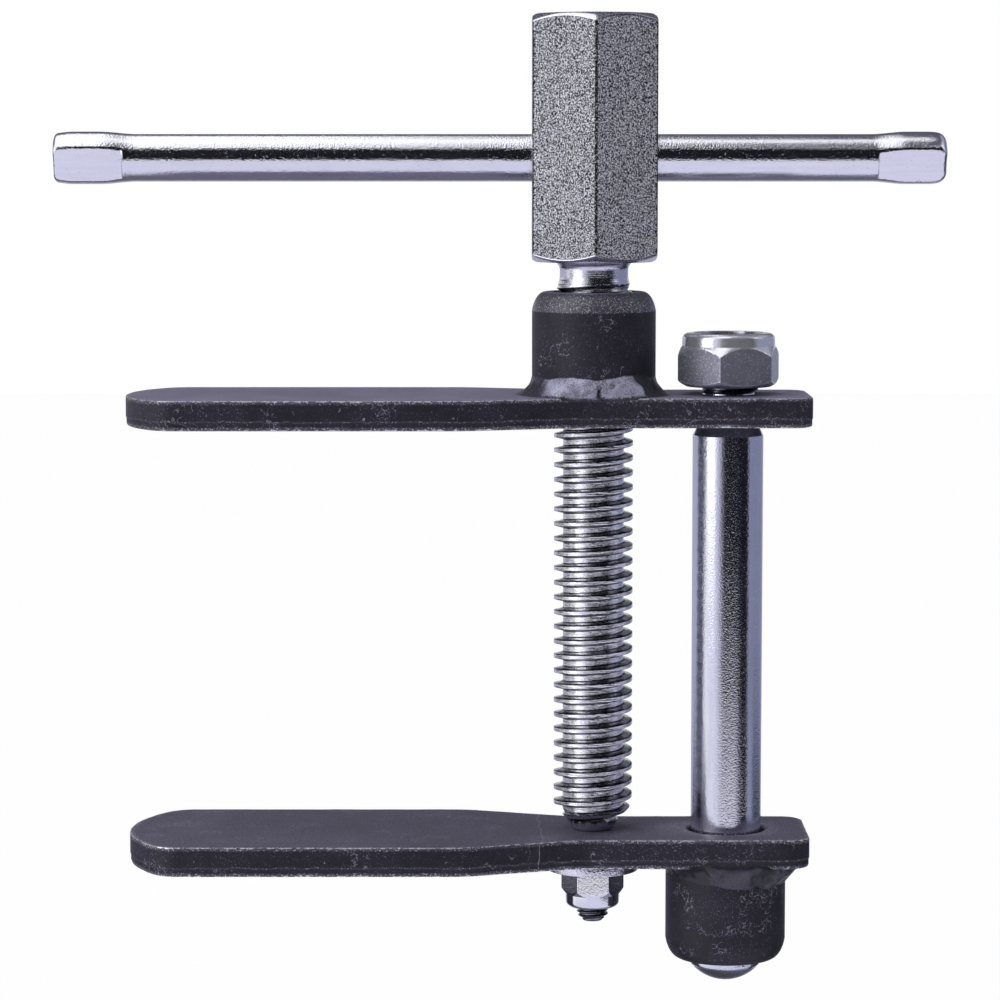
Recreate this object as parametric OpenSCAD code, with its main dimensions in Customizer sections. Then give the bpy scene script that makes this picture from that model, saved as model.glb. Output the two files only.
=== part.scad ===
// Brake caliper piston spreader: a lead screw drives two flat arms apart while a rod keeps them in line.
// Z runs up the screw, X along the arms towards the rod, and the origin is where the screw's axis meets
// the plane of the lower arm's outer face.

/* [Arms] */
// Thickness of both arm plates
arm_t = 6; // [4:0.5:10]
// Clear height between the arms
arm_gap = 83; // [30:1:140]
// Width of the jaw that presses on the piston
jaw_w = 42; // [34:1:60]
// Width of the narrow shank
shank_w = 26.6; // [22:0.2:32]
// Distance from the screw's axis to the tip of the jaw
jaw_reach = 94.5; // [70:0.5:140]
// Distance from the screw's axis to where the shank starts to widen
taper_start = 4; // [1:0.5:8]
// Length of the taper from the shank to the jaw
taper_len = 22; // [12:1:35]
// Blend radius at both ends of the taper
taper_r = 18; // [4:1:24]
// Radius of the curved tip of the jaw
tip_r = 31; // [28:1:60]
// Corner radius where the tip meets the sides of the jaw
tip_corner_r = 7; // [2:0.5:10]
// Distance from the rod's axis to the square end of the shank
end_margin = 16.4; // [14:0.2:24]
// Corner radius of the square end
end_corner_r = 4.5; // [1:0.5:8]

/* [Spindle] */
// Size of the drive hexagon across its flats
hex_af = 25; // [22:0.5:32]
// Length of the drive hexagon
hex_len = 49.5; // [36:0.5:70]
// Inset of the hexagon's end faces from its flats
hex_inset = 0.7; // [0.2:0.1:1.5]
// Diameter of the neck under the hexagon
neck_d = 14.4; // [12.5:0.1:15.8]
// Length of the neck, down to the first thread
neck_len = 4.4; // [2:0.2:8]
// Outside diameter of the lead screw
screw_d = 16; // [14:0.5:20]
// Depth of the lead screw's thread
thread_depth = 1.85; // [1:0.05:2.2]
// Pitch of the lead screw
pitch = 3; // [2:0.5:5]
// Width of the thread's crest
crest_w = 0.8; // [0.4:0.1:1]
// Slope of the thread's flanks from the radial direction
flank_angle = 15; // [5:1:16]
// Diameter of the shoulder that stands on the lower arm
seat_d = 8.4; // [7.8:0.1:10]
// Height of the cone above that shoulder
seat_cone_h = 1.9; // [1:0.1:3]
// Bevel that cuts the screw's foot back below its root
foot_bevel = 0.9; // [0.4:0.1:1.4]
// Diameter of the threaded tail
tail_d = 6.35; // [5:0.05:7]
// Length of the tail beyond its lock nut
tail_stick = 2.7; // [1:0.1:8]
// Bevel on the tail's end
tail_bevel = 1.25; // [0.4:0.05:1.6]
// Rest distance from the boss to the hexagon
head_clear = 6; // [5:0.5:20]

/* [Tommy bar] */
// Diameter of the bar
bar_d = 9.5; // [7:0.1:11]
// Length of the bar over its swaged ends
bar_len = 179; // [140:1:240]
// Shift of the bar's middle from the screw's axis, towards the jaw
bar_shift = 18.9; // [-40:0.1:40]
// Height of the bar's axis above the bottom of the hexagon
bar_h = 20.8; // [14:0.1:30]
// Length of a swaged end
swage_len = 14; // [8:0.5:22]
// Size of a swaged end across its two flats
swage_af = 7.8; // [6.8:0.1:9]
// Diameter of a swaged end over its swollen sides
swage_d = 10.5; // [10.2:0.1:12]
// Turn of the flats about the bar's axis, down at the front
swage_turn = 19; // [0:1:45]
// Rounding of the bar's end faces
swage_round = 0.9; // [0.3:0.1:2]

/* [Boss and sleeve] */
// Diameter of the threaded boss
boss_d = 25; // [23:0.5:30]
// Height of the threaded boss above the upper arm
boss_h = 20.7; // [14:0.1:30]
// Rounding of the boss's top edge
boss_round = 3.8; // [1:0.1:4]
// Diameter of the guide sleeve
sleeve_d = 24.5; // [21:0.5:28]
// Length of the guide sleeve below the lower arm
sleeve_len = 20.5; // [14:0.5:30]
// Rounding of the sleeve's lower edge
sleeve_round = 4; // [1:0.1:4.4]
// Leg of the weld beads
weld_leg = 3.2; // [2:0.1:5]
// Depth that the welds melt into the arms
weld_sink = 0.4; // [0.2:0.1:1]
// Radius of the welds' hollow face, as a multiple of their leg
weld_hollow = 1.6; // [1.2:0.1:4]

/* [Guide rod] */
// Diameter of the guide rod
rod_d = 14.3; // [13:0.1:16]
// Diameter of the rod's threaded stud
stud_d = 12; // [9:0.1:12.4]
// Height of the chamfer below the stud
rod_chamfer_h = 2.3; // [1:0.1:4]
// Length of rod that shows below the sleeve
rod_stick = 4.8; // [3.5:0.1:20]
// Distance from the top of the rod nut down to the stud's end
stud_dip = 0.8; // [0.2:0.1:1.6]
// Height of the domed end
dome_h = 3.5; // [1:0.1:5]

/* [Lock nuts and washer] */
// Rod nut across its flats
rod_nut_af = 19; // [17:0.5:22]
// Height of the rod nut with its collar
rod_nut_h = 10.8; // [9:0.1:16]
// Height of the rod nut's collar
rod_collar_h = 2.6; // [2:0.1:4]
// Height above the upper arm at which the rod nut stops on its stud
rod_nut_lift = 1.6; // [0.4:0.1:3]
// Turn of the rod nut on its stud
rod_nut_turn = 48; // [0:1:60]
// Gap between a corner of the rod nut and the toe of the boss weld
nut_gap = 0.55; // [0.2:0.05:6]
// Tail nut across its flats
tail_nut_af = 11.1; // [10:0.1:14]
// Height of the tail nut with its collar
tail_nut_h = 7.9; // [6:0.1:10]
// Height of the tail nut's collar
tail_collar_h = 2.9; // [1.5:0.1:3.6]
// Diameter of the thrust washer
washer_d = 18.5; // [14:0.5:20]
// Thickness of the thrust washer
washer_t = 2.5; // [1:0.1:3]

/* [Clearances] */
// Radial clearance of the lead screw in its boss
screw_clear = 0.12; // [0.05:0.01:0.3]
// Radial clearance of the rod in its sleeve
rod_clear = 0.15; // [0.05:0.01:0.3]
// Radial clearance of the tommy bar in its cross hole
bar_clear = 0.2; // [0.1:0.05:0.4]
// Radial clearance of the tail in the lower arm
tail_clear = 0.25; // [0.1:0.05:0.5]
// Radial clearance of the loose holes in both arms
hole_clear = 0.75; // [0.5:0.05:1.2]
// Play of the spindle between its shoulder and its washer, on each side of the arm
thrust_play = 0.12; // [0.05:0.01:0.3]
// Gap between nut threads and studs, and round a locking ring
thread_gap = 0.05; // [0.02:0.01:0.1]
// Depth of the machined spot under the thrust washer
spot_depth = 0.2; // [0.15:0.05:0.6]

/* [Hidden] */
$fn = 96;
eps = 0.01;
arc_steps = 10;

paint = [0.11, 0.11, 0.14];
weld_paint = [0.19, 0.18, 0.23];
bright_zinc = [0.74, 0.74, 0.78];
dull_zinc = [0.56, 0.56, 0.62];
ring_blue = [0.20, 0.30, 0.55];

hex_corner = 1 / cos(30);
// Slopes of the chamfers that a turned hexagon has, from the level
hex_slope = 30;
collar_slope = 50;
// Shares of a lock nut's width and of its collar's height
seat_inset_share = 0.045;
collar_inset_share = 0.005;
collar_share = 0.98;
collar_round_share = 0.55;
ring_share = 0.6;
collar_root_share = 0.1;

nut_corner_r = rod_nut_af / 2 * hex_corner;
rod_x = boss_d / 2 + weld_leg + nut_corner_r + nut_gap;
end_x = rod_x + end_margin;

lower_top = arm_t;
upper_bottom = lower_top + arm_gap;
upper_top = upper_bottom + arm_t;
boss_top = upper_top + boss_h;
hex_bottom = boss_top + head_clear;
bar_z = hex_bottom + bar_h;

seat_z = lower_top + thrust_play;
thread_bottom = seat_z + seat_cone_h;
thread_top = hex_bottom - neck_len;
root_d = screw_d - 2 * thread_depth;
flank_w = thread_depth * tan(flank_angle);
foot_r = root_d / 2 - foot_bevel;
washer_top = spot_depth - thrust_play;
washer_bottom = washer_top - washer_t;
tail_nut_bottom = washer_bottom - tail_nut_h;
tail_end = tail_nut_bottom - tail_stick;

sleeve_bottom = -sleeve_len;
rod_end = sleeve_bottom - rod_stick;
dome_r = (pow(rod_d / 2, 2) + pow(dome_h, 2)) / (2 * dome_h);
rod_nut_bottom = upper_top + rod_nut_lift;
stud_top = rod_nut_bottom + rod_nut_h - stud_dip;

// Points along an arc, from angle a0 to angle a1
function arc(x, y, r, a0, a1, n = arc_steps) =
    [for (i = [0 : n]) let (a = a0 + (a1 - a0) * i / n) [x + r * cos(a), y + r * sin(a)]];

// Half outline of an arm on the +Y side, from the square end to the middle of the tip
function half_outline() =
    let (
        s = shank_w / 2,
        j = jaw_w / 2,
        taper_angle = atan2(j - s, taper_len),
        tangent = taper_r * tan(taper_angle / 2),
        tip_x = tip_r - jaw_reach,
        corner_y = j - tip_corner_r,
        corner_dx = sqrt(pow(tip_r - tip_corner_r, 2) - pow(corner_y, 2)),
        tip_angle = atan2(corner_y, corner_dx)
    )
    concat(
        arc(end_x - end_corner_r, s - end_corner_r, end_corner_r, 0, 90),
        arc(-taper_start + tangent, s + taper_r, taper_r, 270, 270 - taper_angle),
        arc(-taper_start - taper_len - tangent, j - taper_r, taper_r, 90 - taper_angle, 90),
        arc(tip_x - corner_dx, corner_y, tip_corner_r, 90, 180 - tip_angle),
        arc(tip_x, 0, tip_r, 180 - tip_angle, 180)
    );

// The outline of both arms raised from height z to a thickness t
module arm_plate(z, t) {
    half = half_outline();
    mirrored = [for (i = [len(half) - 2 : -1 : 0]) [half[i].x, -half[i].y]];
    translate([0, 0, z])
        linear_extrude(t)
            polygon(concat(half, mirrored));
}

// A solid cylinder from height z0 to height z1
module rod_between(d, z0, z1) {
    translate([0, 0, z0])
        cylinder(d = d, h = z1 - z0);
}

// Half section of a turned post that stands on z = 0, with its top edge rounded
module post_section(d, h, r) {
    square([d / 2 - r, h]);
    square([d / 2, h - r]);
    translate([d / 2 - r, h - r])
        circle(r);
}

// A turned post with a rounded top edge and a plain bore
module bored_post(d, h, r, bore_d) {
    difference() {
        rotate_extrude()
            intersection() {
                post_section(d, h, r);
                square([d, h]);
            }
        rod_between(bore_d, -eps, h + eps);
    }
}

// A ring of hollow fillet weld round a post, with its melted foot from z = 0 to the arm's face
module weld_ring(post_d) {
    hollow_r = weld_leg * weld_hollow;
    hollow_at = (weld_leg + sqrt(2 * pow(hollow_r, 2) - pow(weld_leg, 2))) / 2;
    rotate_extrude()
        translate([post_d / 2, 0])
            difference() {
                square([weld_leg, weld_leg + weld_sink]);
                translate([hollow_at, hollow_at + weld_sink])
                    circle(hollow_r);
            }
}

// Hexagon bar with a flat facing along X, from z = 0 to z = h
module hex_bar(af, h) {
    rotate(30)
        cylinder(d = af * hex_corner, h = h, $fn = 6);
}

// Solid that turns a chamfer on both ends of a hexagon, each from an inset inside the flats
module hex_turning(af, h, low_inset, high_inset, high_slope = hex_slope) {
    corner_r = af / 2 * hex_corner;
    low_r = af / 2 - low_inset;
    high_r = af / 2 - high_inset;
    low_h = (corner_r - low_r) * tan(hex_slope);
    high_h = (corner_r - high_r) * tan(high_slope);
    rotate_extrude()
        polygon([
            [0, 0], [low_r, 0], [corner_r, low_h], [corner_r, h - high_h], [high_r, h], [0, h]
        ]);
}

// Lock nut that stands on z = 0: chamfered hexagon, rounded collar, and a groove for its locking ring
module lock_nut(af, h, collar_h, bore_d) {
    hex_h = h - collar_h;
    root_h = collar_h * collar_root_share;
    collar_d = af * collar_share;
    difference() {
        union() {
            intersection() {
                hex_bar(af, hex_h);
                hex_turning(af, hex_h, af * seat_inset_share, af * collar_inset_share, collar_slope);
            }
            translate([0, 0, hex_h - root_h])
                rotate_extrude()
                    intersection() {
                        post_section(collar_d, collar_h + root_h, collar_h * collar_round_share);
                        square([af, collar_h + root_h]);
                    }
        }
        rod_between(bore_d, -eps, h + eps);
        translate([0, 0, hex_h])
            locking_ring(af, collar_h, bore_d - eps, thread_gap);
    }
}

// Locking ring of a nut, in its groove; grow widens it to cut the groove
module locking_ring(af, collar_h, bore_d, grow) {
    outer_d = (af * collar_share + bore_d) / 2;
    ring_h = collar_h * ring_share;
    difference() {
        rod_between(outer_d + 2 * grow, -grow, ring_h + grow);
        rod_between(bore_d, -collar_h, collar_h);
    }
}

module lower_arm() {
    color(paint)
        difference() {
            arm_plate(0, arm_t);
            rod_between(tail_d + 2 * tail_clear, -eps, arm_t + eps);
            rod_between(washer_d + 2 * hole_clear, -eps, spot_depth);
            translate([rod_x, 0, 0]) {
                rod_between(rod_d + 2 * hole_clear, -eps, arm_t + eps);
                rod_between(sleeve_d + 2 * weld_leg, -eps, weld_sink);
            }
        }
}

module guide_sleeve() {
    color(paint)
        translate([rod_x, 0, weld_sink])
            mirror([0, 0, 1])
                bored_post(sleeve_d, sleeve_len + weld_sink, sleeve_round, rod_d + 2 * rod_clear);
}

module sleeve_weld() {
    color(weld_paint)
        intersection() {
            translate([rod_x, 0, weld_sink])
                mirror([0, 0, 1])
                    weld_ring(sleeve_d);
            arm_plate(-weld_leg, weld_leg + weld_sink);
        }
}

// Half section of the lead screw: rings at the thread's pitch on the root cylinder, bevelled at the foot
module screw_section() {
    turns = floor((thread_top - thread_bottom) / pitch);
    intersection() {
        union() {
            translate([0, thread_bottom])
                square([root_d / 2, thread_top - thread_bottom]);
            for (turn = [0 : turns - 1]) {
                translate([0, thread_top - pitch * (turn + 0.5)])
                    polygon([
                        [0, -crest_w / 2 - flank_w], [root_d / 2, -crest_w / 2 - flank_w],
                        [screw_d / 2, -crest_w / 2], [screw_d / 2, crest_w / 2],
                        [root_d / 2, crest_w / 2 + flank_w], [0, crest_w / 2 + flank_w]
                    ]);
            }
        }
        polygon([
            [0, thread_bottom], [foot_r, thread_bottom],
            [screw_d / 2, thread_bottom + pitch], [screw_d / 2, thread_top], [0, thread_top]
        ]);
    }
}

module spindle() {
    color(bright_zinc)
        difference() {
            union() {
                rotate_extrude()
                    polygon([
                        [0, tail_end], [tail_d / 2 - tail_bevel, tail_end],
                        [tail_d / 2, tail_end + tail_bevel], [tail_d / 2, seat_z],
                        [seat_d / 2, seat_z], [foot_r, thread_bottom], [0, thread_bottom]
                    ]);
                rotate_extrude()
                    screw_section();
                rod_between(neck_d, thread_top, hex_bottom);
                translate([0, 0, hex_bottom])
                    intersection() {
                        hex_bar(hex_af, hex_len);
                        hex_turning(hex_af, hex_len, hex_inset, hex_inset);
                    }
            }
            translate([0, 0, bar_z])
                rotate([0, 90, 0])
                    cylinder(d = bar_d + 2 * bar_clear, h = hex_af * 2, center = true);
        }
}

module thrust_washer() {
    color(dull_zinc)
        difference() {
            rod_between(washer_d, washer_bottom, washer_top);
            rod_between(tail_d + 2 * thread_gap, washer_bottom - eps, washer_top + eps);
        }
}

// Puts a nut or its ring under the thrust washer, collar down, with a flat towards -Y
module under_washer() {
    translate([0, 0, washer_bottom])
        rotate([180, 0, 30])
            children();
}

module tail_nut() {
    color(dull_zinc)
        under_washer()
            lock_nut(tail_nut_af, tail_nut_h, tail_collar_h, tail_d + 2 * thread_gap);
}

module tail_nut_insert() {
    color(ring_blue)
        under_washer()
            translate([0, 0, tail_nut_h - tail_collar_h])
                locking_ring(tail_nut_af, tail_collar_h, tail_d + 2 * thread_gap, 0);
}

// One swollen end of the tommy bar, pressed flat at front and back, from x = 0 outwards along +X
module swaged_end() {
    rotate([90 + swage_turn, 0, 0])
        rotate([0, 90, 0])
            intersection() {
                translate([-swage_af / 2, -swage_d, 0])
                    cube([swage_af, 2 * swage_d, swage_len]);
                rotate_extrude()
                    intersection() {
                        post_section(swage_d, swage_len, swage_round);
                        square([swage_d, swage_len]);
                    }
            }
}

module tommy_bar() {
    shank_len = bar_len - 2 * swage_len;
    color(bright_zinc)
        translate([-bar_shift, 0, bar_z]) {
            rotate([0, 90, 0])
                cylinder(d = bar_d, h = shank_len, center = true);
            for (side = [0, 1]) {
                mirror([side, 0, 0])
                    translate([shank_len / 2, 0, 0])
                        swaged_end();
            }
        }
}

module upper_arm() {
    color(paint)
        difference() {
            arm_plate(upper_bottom, arm_t);
            rod_between(screw_d + 2 * hole_clear, upper_bottom - eps, upper_top + eps);
            rod_between(boss_d + 2 * weld_leg, upper_top - weld_sink, upper_top + eps);
            translate([rod_x, 0, 0])
                rod_between(stud_d + 2 * tail_clear, upper_bottom - eps, upper_top + eps);
        }
}

module threaded_boss() {
    color(paint)
        translate([0, 0, upper_top - weld_sink])
            bored_post(boss_d, boss_h + weld_sink, boss_round, screw_d + 2 * screw_clear);
}

module boss_weld() {
    color(weld_paint)
        intersection() {
            translate([0, 0, upper_top - weld_sink])
                weld_ring(boss_d);
            arm_plate(upper_top - weld_sink, weld_leg + weld_sink);
        }
}

module guide_rod() {
    color(bright_zinc)
        translate([rod_x, 0, 0]) {
            intersection() {
                rod_between(rod_d, rod_end, upper_bottom - rod_chamfer_h);
                union() {
                    rod_between(rod_d * 2, rod_end + dome_h, upper_bottom);
                    translate([0, 0, rod_end + dome_r])
                        sphere(dome_r);
                }
            }
            translate([0, 0, upper_bottom - rod_chamfer_h])
                cylinder(d1 = rod_d, d2 = stud_d, h = rod_chamfer_h);
            rod_between(stud_d, upper_bottom, stud_top);
        }
}

// Puts the rod nut or its ring on the stud above the upper arm
module on_stud() {
    translate([rod_x, 0, rod_nut_bottom])
        rotate(rod_nut_turn)
            children();
}

module rod_nut() {
    color(dull_zinc)
        on_stud()
            lock_nut(rod_nut_af, rod_nut_h, rod_collar_h, stud_d + 2 * thread_gap);
}

module rod_nut_insert() {
    color(ring_blue)
        on_stud()
            translate([0, 0, rod_nut_h - rod_collar_h])
                locking_ring(rod_nut_af, rod_collar_h, stud_d + 2 * thread_gap, 0);
}

lower_arm();
guide_sleeve();
sleeve_weld();
spindle();
thrust_washer();
tail_nut();
tail_nut_insert();
tommy_bar();
upper_arm();
threaded_boss();
boss_weld();
guide_rod();
rod_nut();
rod_nut_insert();
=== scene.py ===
"""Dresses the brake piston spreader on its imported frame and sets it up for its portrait.

Lengths are in millimetres in the part's own frame and turn to metres where a mesh is made. Bearings
and heights in the studio are in degrees, with bearing 0 towards the camera and 90 to its right.
"""

from __future__ import annotations

import logging
import math
from dataclasses import dataclass, field
from enum import Enum
from typing import Any, Mapping, Optional, Sequence, Union

import bmesh
import bpy
import numpy as np
from mathutils import Matrix, Vector, noise

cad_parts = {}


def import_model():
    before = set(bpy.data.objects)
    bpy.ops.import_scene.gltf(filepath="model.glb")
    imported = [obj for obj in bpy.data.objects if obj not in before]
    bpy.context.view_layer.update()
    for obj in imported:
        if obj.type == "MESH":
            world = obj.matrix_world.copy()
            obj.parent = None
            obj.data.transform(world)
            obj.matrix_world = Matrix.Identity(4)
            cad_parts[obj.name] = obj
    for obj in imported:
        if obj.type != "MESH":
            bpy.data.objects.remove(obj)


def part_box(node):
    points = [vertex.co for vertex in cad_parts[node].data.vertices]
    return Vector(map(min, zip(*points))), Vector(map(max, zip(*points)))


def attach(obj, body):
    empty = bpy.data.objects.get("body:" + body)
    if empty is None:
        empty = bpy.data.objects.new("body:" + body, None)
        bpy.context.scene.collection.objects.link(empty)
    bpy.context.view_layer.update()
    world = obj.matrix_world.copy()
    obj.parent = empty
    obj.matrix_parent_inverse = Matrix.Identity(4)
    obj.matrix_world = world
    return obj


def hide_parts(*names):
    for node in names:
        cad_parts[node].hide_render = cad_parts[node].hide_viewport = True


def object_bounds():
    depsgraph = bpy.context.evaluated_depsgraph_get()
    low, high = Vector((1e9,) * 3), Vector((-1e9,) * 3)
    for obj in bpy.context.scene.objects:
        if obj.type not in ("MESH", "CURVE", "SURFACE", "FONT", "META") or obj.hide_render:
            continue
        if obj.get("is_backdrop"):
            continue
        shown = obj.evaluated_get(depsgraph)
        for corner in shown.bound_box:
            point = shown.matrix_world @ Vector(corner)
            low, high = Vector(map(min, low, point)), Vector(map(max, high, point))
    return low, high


log = logging.getLogger("spreader")

MM = 0.001
MERGE = 5e-4
SHARP_DEG = 32.0
COLUMNS = 96
ARC_STEPS = 24
CROWN_STEPS = 15
NOISE_MIDDLE = 0.5
ROUND_REACH = 0.49
WEAR_AND_LIGHT = "wear_and_light"
PHOTO_PX = 1000

Triple = tuple[float, float, float]
Colour = Triple
Span = tuple[float, float]
Number = Union[float, "Value"]


class Body(Enum):
    """The bodies that pieces ride on."""

    LOWER_ARM = "lower_arm"
    SPINDLE = "spindle"
    TOMMY_BAR = "tommy_bar"
    UPPER_ARM = "upper_arm"


class Slot(Enum):
    """The record's material slots."""

    BLACK_PAINT = "black_paint"
    WELD_PAINT = "weld_paint"
    BRIGHT_ZINC = "bright_zinc"
    DULL_ZINC = "dull_zinc"
    LOCKING_RING = "locking_ring"


class Side(Enum):
    """Which face of an arm a piece stands on."""

    ABOVE = 1
    BELOW = -1


class Value:
    """A shader output that takes part in Python arithmetic by adding Math nodes."""

    def __init__(self, graph: "Graph", socket: Optional[bpy.types.NodeSocket]) -> None:
        """Wraps an output socket of a graph, or none where a node ends the graph."""
        self.graph = graph
        self.socket = socket

    def _math(self, operation: str, *terms: Number) -> "Value":
        """Adds a Math node on the given terms."""
        return self.graph.node("ShaderNodeMath", {"operation": operation}, dict(enumerate(terms)))

    def __add__(self, other: Number) -> "Value":
        """Returns self + other."""
        return self._math("ADD", self, other)

    def __radd__(self, other: Number) -> "Value":
        """Returns other + self."""
        return self._math("ADD", other, self)

    def __sub__(self, other: Number) -> "Value":
        """Returns self - other."""
        return self._math("SUBTRACT", self, other)

    def __rsub__(self, other: Number) -> "Value":
        """Returns other - self."""
        return self._math("SUBTRACT", other, self)

    def __mul__(self, other: Number) -> "Value":
        """Returns self * other."""
        return self._math("MULTIPLY", self, other)

    def __abs__(self) -> "Value":
        """Returns the absolute value."""
        return self._math("ABSOLUTE", self)

    def larger(self, other: Number) -> "Value":
        """Returns the larger of two values."""
        return self._math("MAXIMUM", self, other)

    def bearing(self, other: "Value") -> "Value":
        """Returns the angle of (other, self) in degrees."""
        return self._math("DEGREES", self._math("ARCTAN2", self, other))

    def arcsine(self) -> "Value":
        """Returns the arc sine in degrees."""
        return self._math("DEGREES", self._math("ARCSINE", self))

    def rise(self, low: float, high: float) -> "Value":
        """Returns a smooth step from 0 at low to 1 at high."""
        return self.graph.node(
            "ShaderNodeMapRange",
            {"interpolation_type": "SMOOTHSTEP"},
            {"Value": self, "From Min": low, "From Max": high},
        )

    def above(self, level: float, soft: float) -> "Value":
        """Returns 0 up to a level and 1 from a soft step above it."""
        return self.rise(level, level + soft)

    def swing(self, by: float) -> "Value":
        """Returns noise as a swing about 0."""
        return (self - NOISE_MIDDLE) * by

    def window(self, low: float, high: float, soft: float) -> "Value":
        """Returns 1 between low and high, falling smoothly to 0 over a soft edge."""
        return self.rise(low - soft, low + soft) * (1.0 - self.rise(high - soft, high + soft))


class Graph:
    """A node tree that is written from top to bottom."""

    def __init__(self, tree: bpy.types.NodeTree) -> None:
        """Empties a node tree and takes it over."""
        self.tree = tree
        tree.nodes.clear()

    @staticmethod
    def _pick(sockets: Any, key: Union[int, str]) -> bpy.types.NodeSocket:
        """Finds a socket by its place, identifier or name.

        Args:
            sockets: A node's inputs or outputs.
            key: The place, identifier or name.

        Returns:
            The socket.
        """
        if isinstance(key, int):
            return sockets[key]
        return next((s for s in sockets if s.identifier == key), None) or sockets[key]

    def node(
        self,
        kind: str,
        settings: Optional[Mapping[str, Any]] = None,
        sockets: Optional[Mapping[Union[int, str], Any]] = None,
        output: Union[int, str] = 0,
    ) -> Value:
        """Adds a node.

        Args:
            kind: The node's type.
            settings: Properties that are set first.
            sockets: Values or links of its inputs, by place, identifier or name.
            output: The output that is wanted.

        Returns:
            The wanted output.
        """
        made = self.tree.nodes.new(kind)
        for name, setting in (settings or {}).items():
            setattr(made, name, setting)
        for key, value in (sockets or {}).items():
            socket = self._pick(made.inputs, key)
            if isinstance(value, Value):
                self.tree.links.new(value.socket, socket)
            else:
                socket.default_value = value
        return Value(self, self._pick(made.outputs, output) if made.outputs else None)

    def place(self) -> Value:
        """Returns the point on the piece in millimetres."""
        metres = self.node("ShaderNodeTexCoord", output="Object")
        return self.node("ShaderNodeVectorMath", {"operation": "SCALE"}, {0: metres, "Scale": 1 / MM})

    def stretch(self, place: Value, by: Triple) -> Value:
        """Returns a point scaled along each axis."""
        return self.node("ShaderNodeVectorMath", {"operation": "MULTIPLY"}, {0: place, 1: by})

    def axis(self, place: Value, name: str) -> Value:
        """Returns one coordinate of a point."""
        return self.node("ShaderNodeSeparateXYZ", None, {0: place}, name)

    def grain(self, place: Value, per_mm: float, detail: float = 2.0, rough: float = 0.5) -> Value:
        """Returns noise with about per_mm features in a millimetre."""
        return self.node(
            "ShaderNodeTexNoise",
            None,
            {"Vector": place, "Scale": per_mm, "Detail": detail, "Roughness": rough},
        )

    def hairlines(self, place: Value, per_mm: float, width: float) -> Value:
        """Returns thin wandering lines, 1 on the line."""
        return 1.0 - abs(self.grain(place, per_mm, detail=3.0) - NOISE_MIDDLE).rise(0.0, width)

    def wear_and_light(self) -> Value:
        """Returns the mark that the meshes carry: worn edges, and painted highlight and shade on weld beads,
        threads and the drive hexagon's corners.
        """
        return self.node("ShaderNodeAttribute", {"attribute_name": WEAR_AND_LIGHT}, None, "Fac")

    def blend(self, mask: Number, low: Any, high: Any) -> Value:
        """Returns a colour between low, at a mask of 0, and high, at 1."""
        return self.node(
            "ShaderNodeMix",
            {"data_type": "RGBA"},
            {"Factor_Float": mask, "A_Color": opaque(low), "B_Color": opaque(high)},
            "Result_Color",
        )

    def bump(self, height: Value, depth_mm: float) -> Value:
        """Returns a normal that follows a height of depth_mm."""
        return self.node("ShaderNodeBump", None, {"Height": height, "Distance": depth_mm * MM})

    def surface(self, sockets: Mapping[str, Any]) -> None:
        """Ends a material with one Principled shader."""
        shader = self.node("ShaderNodeBsdfPrincipled", None, sockets)
        self.node("ShaderNodeOutputMaterial", None, {"Surface": shader})


def opaque(colour: Any) -> Any:
    """Returns a plain colour with an alpha of 1, and a link as it is."""
    return colour if isinstance(colour, Value) else (*colour, 1.0)


class Finish:
    """What every finish shares: one material, made when it is first asked for."""

    name: str

    def material(self) -> bpy.types.Material:
        """Returns this finish's material.

        Returns:
            The material, which all pieces with this finish share.
        """
        made = bpy.data.materials.get(self.name)
        if made is None:
            made = bpy.data.materials.new(self.name)
            made.use_nodes = True
            self.shade(Graph(made.node_tree))
        return made

    def shade(self, graph: Graph) -> None:
        """Writes the material's nodes."""
        raise NotImplementedError


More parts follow.
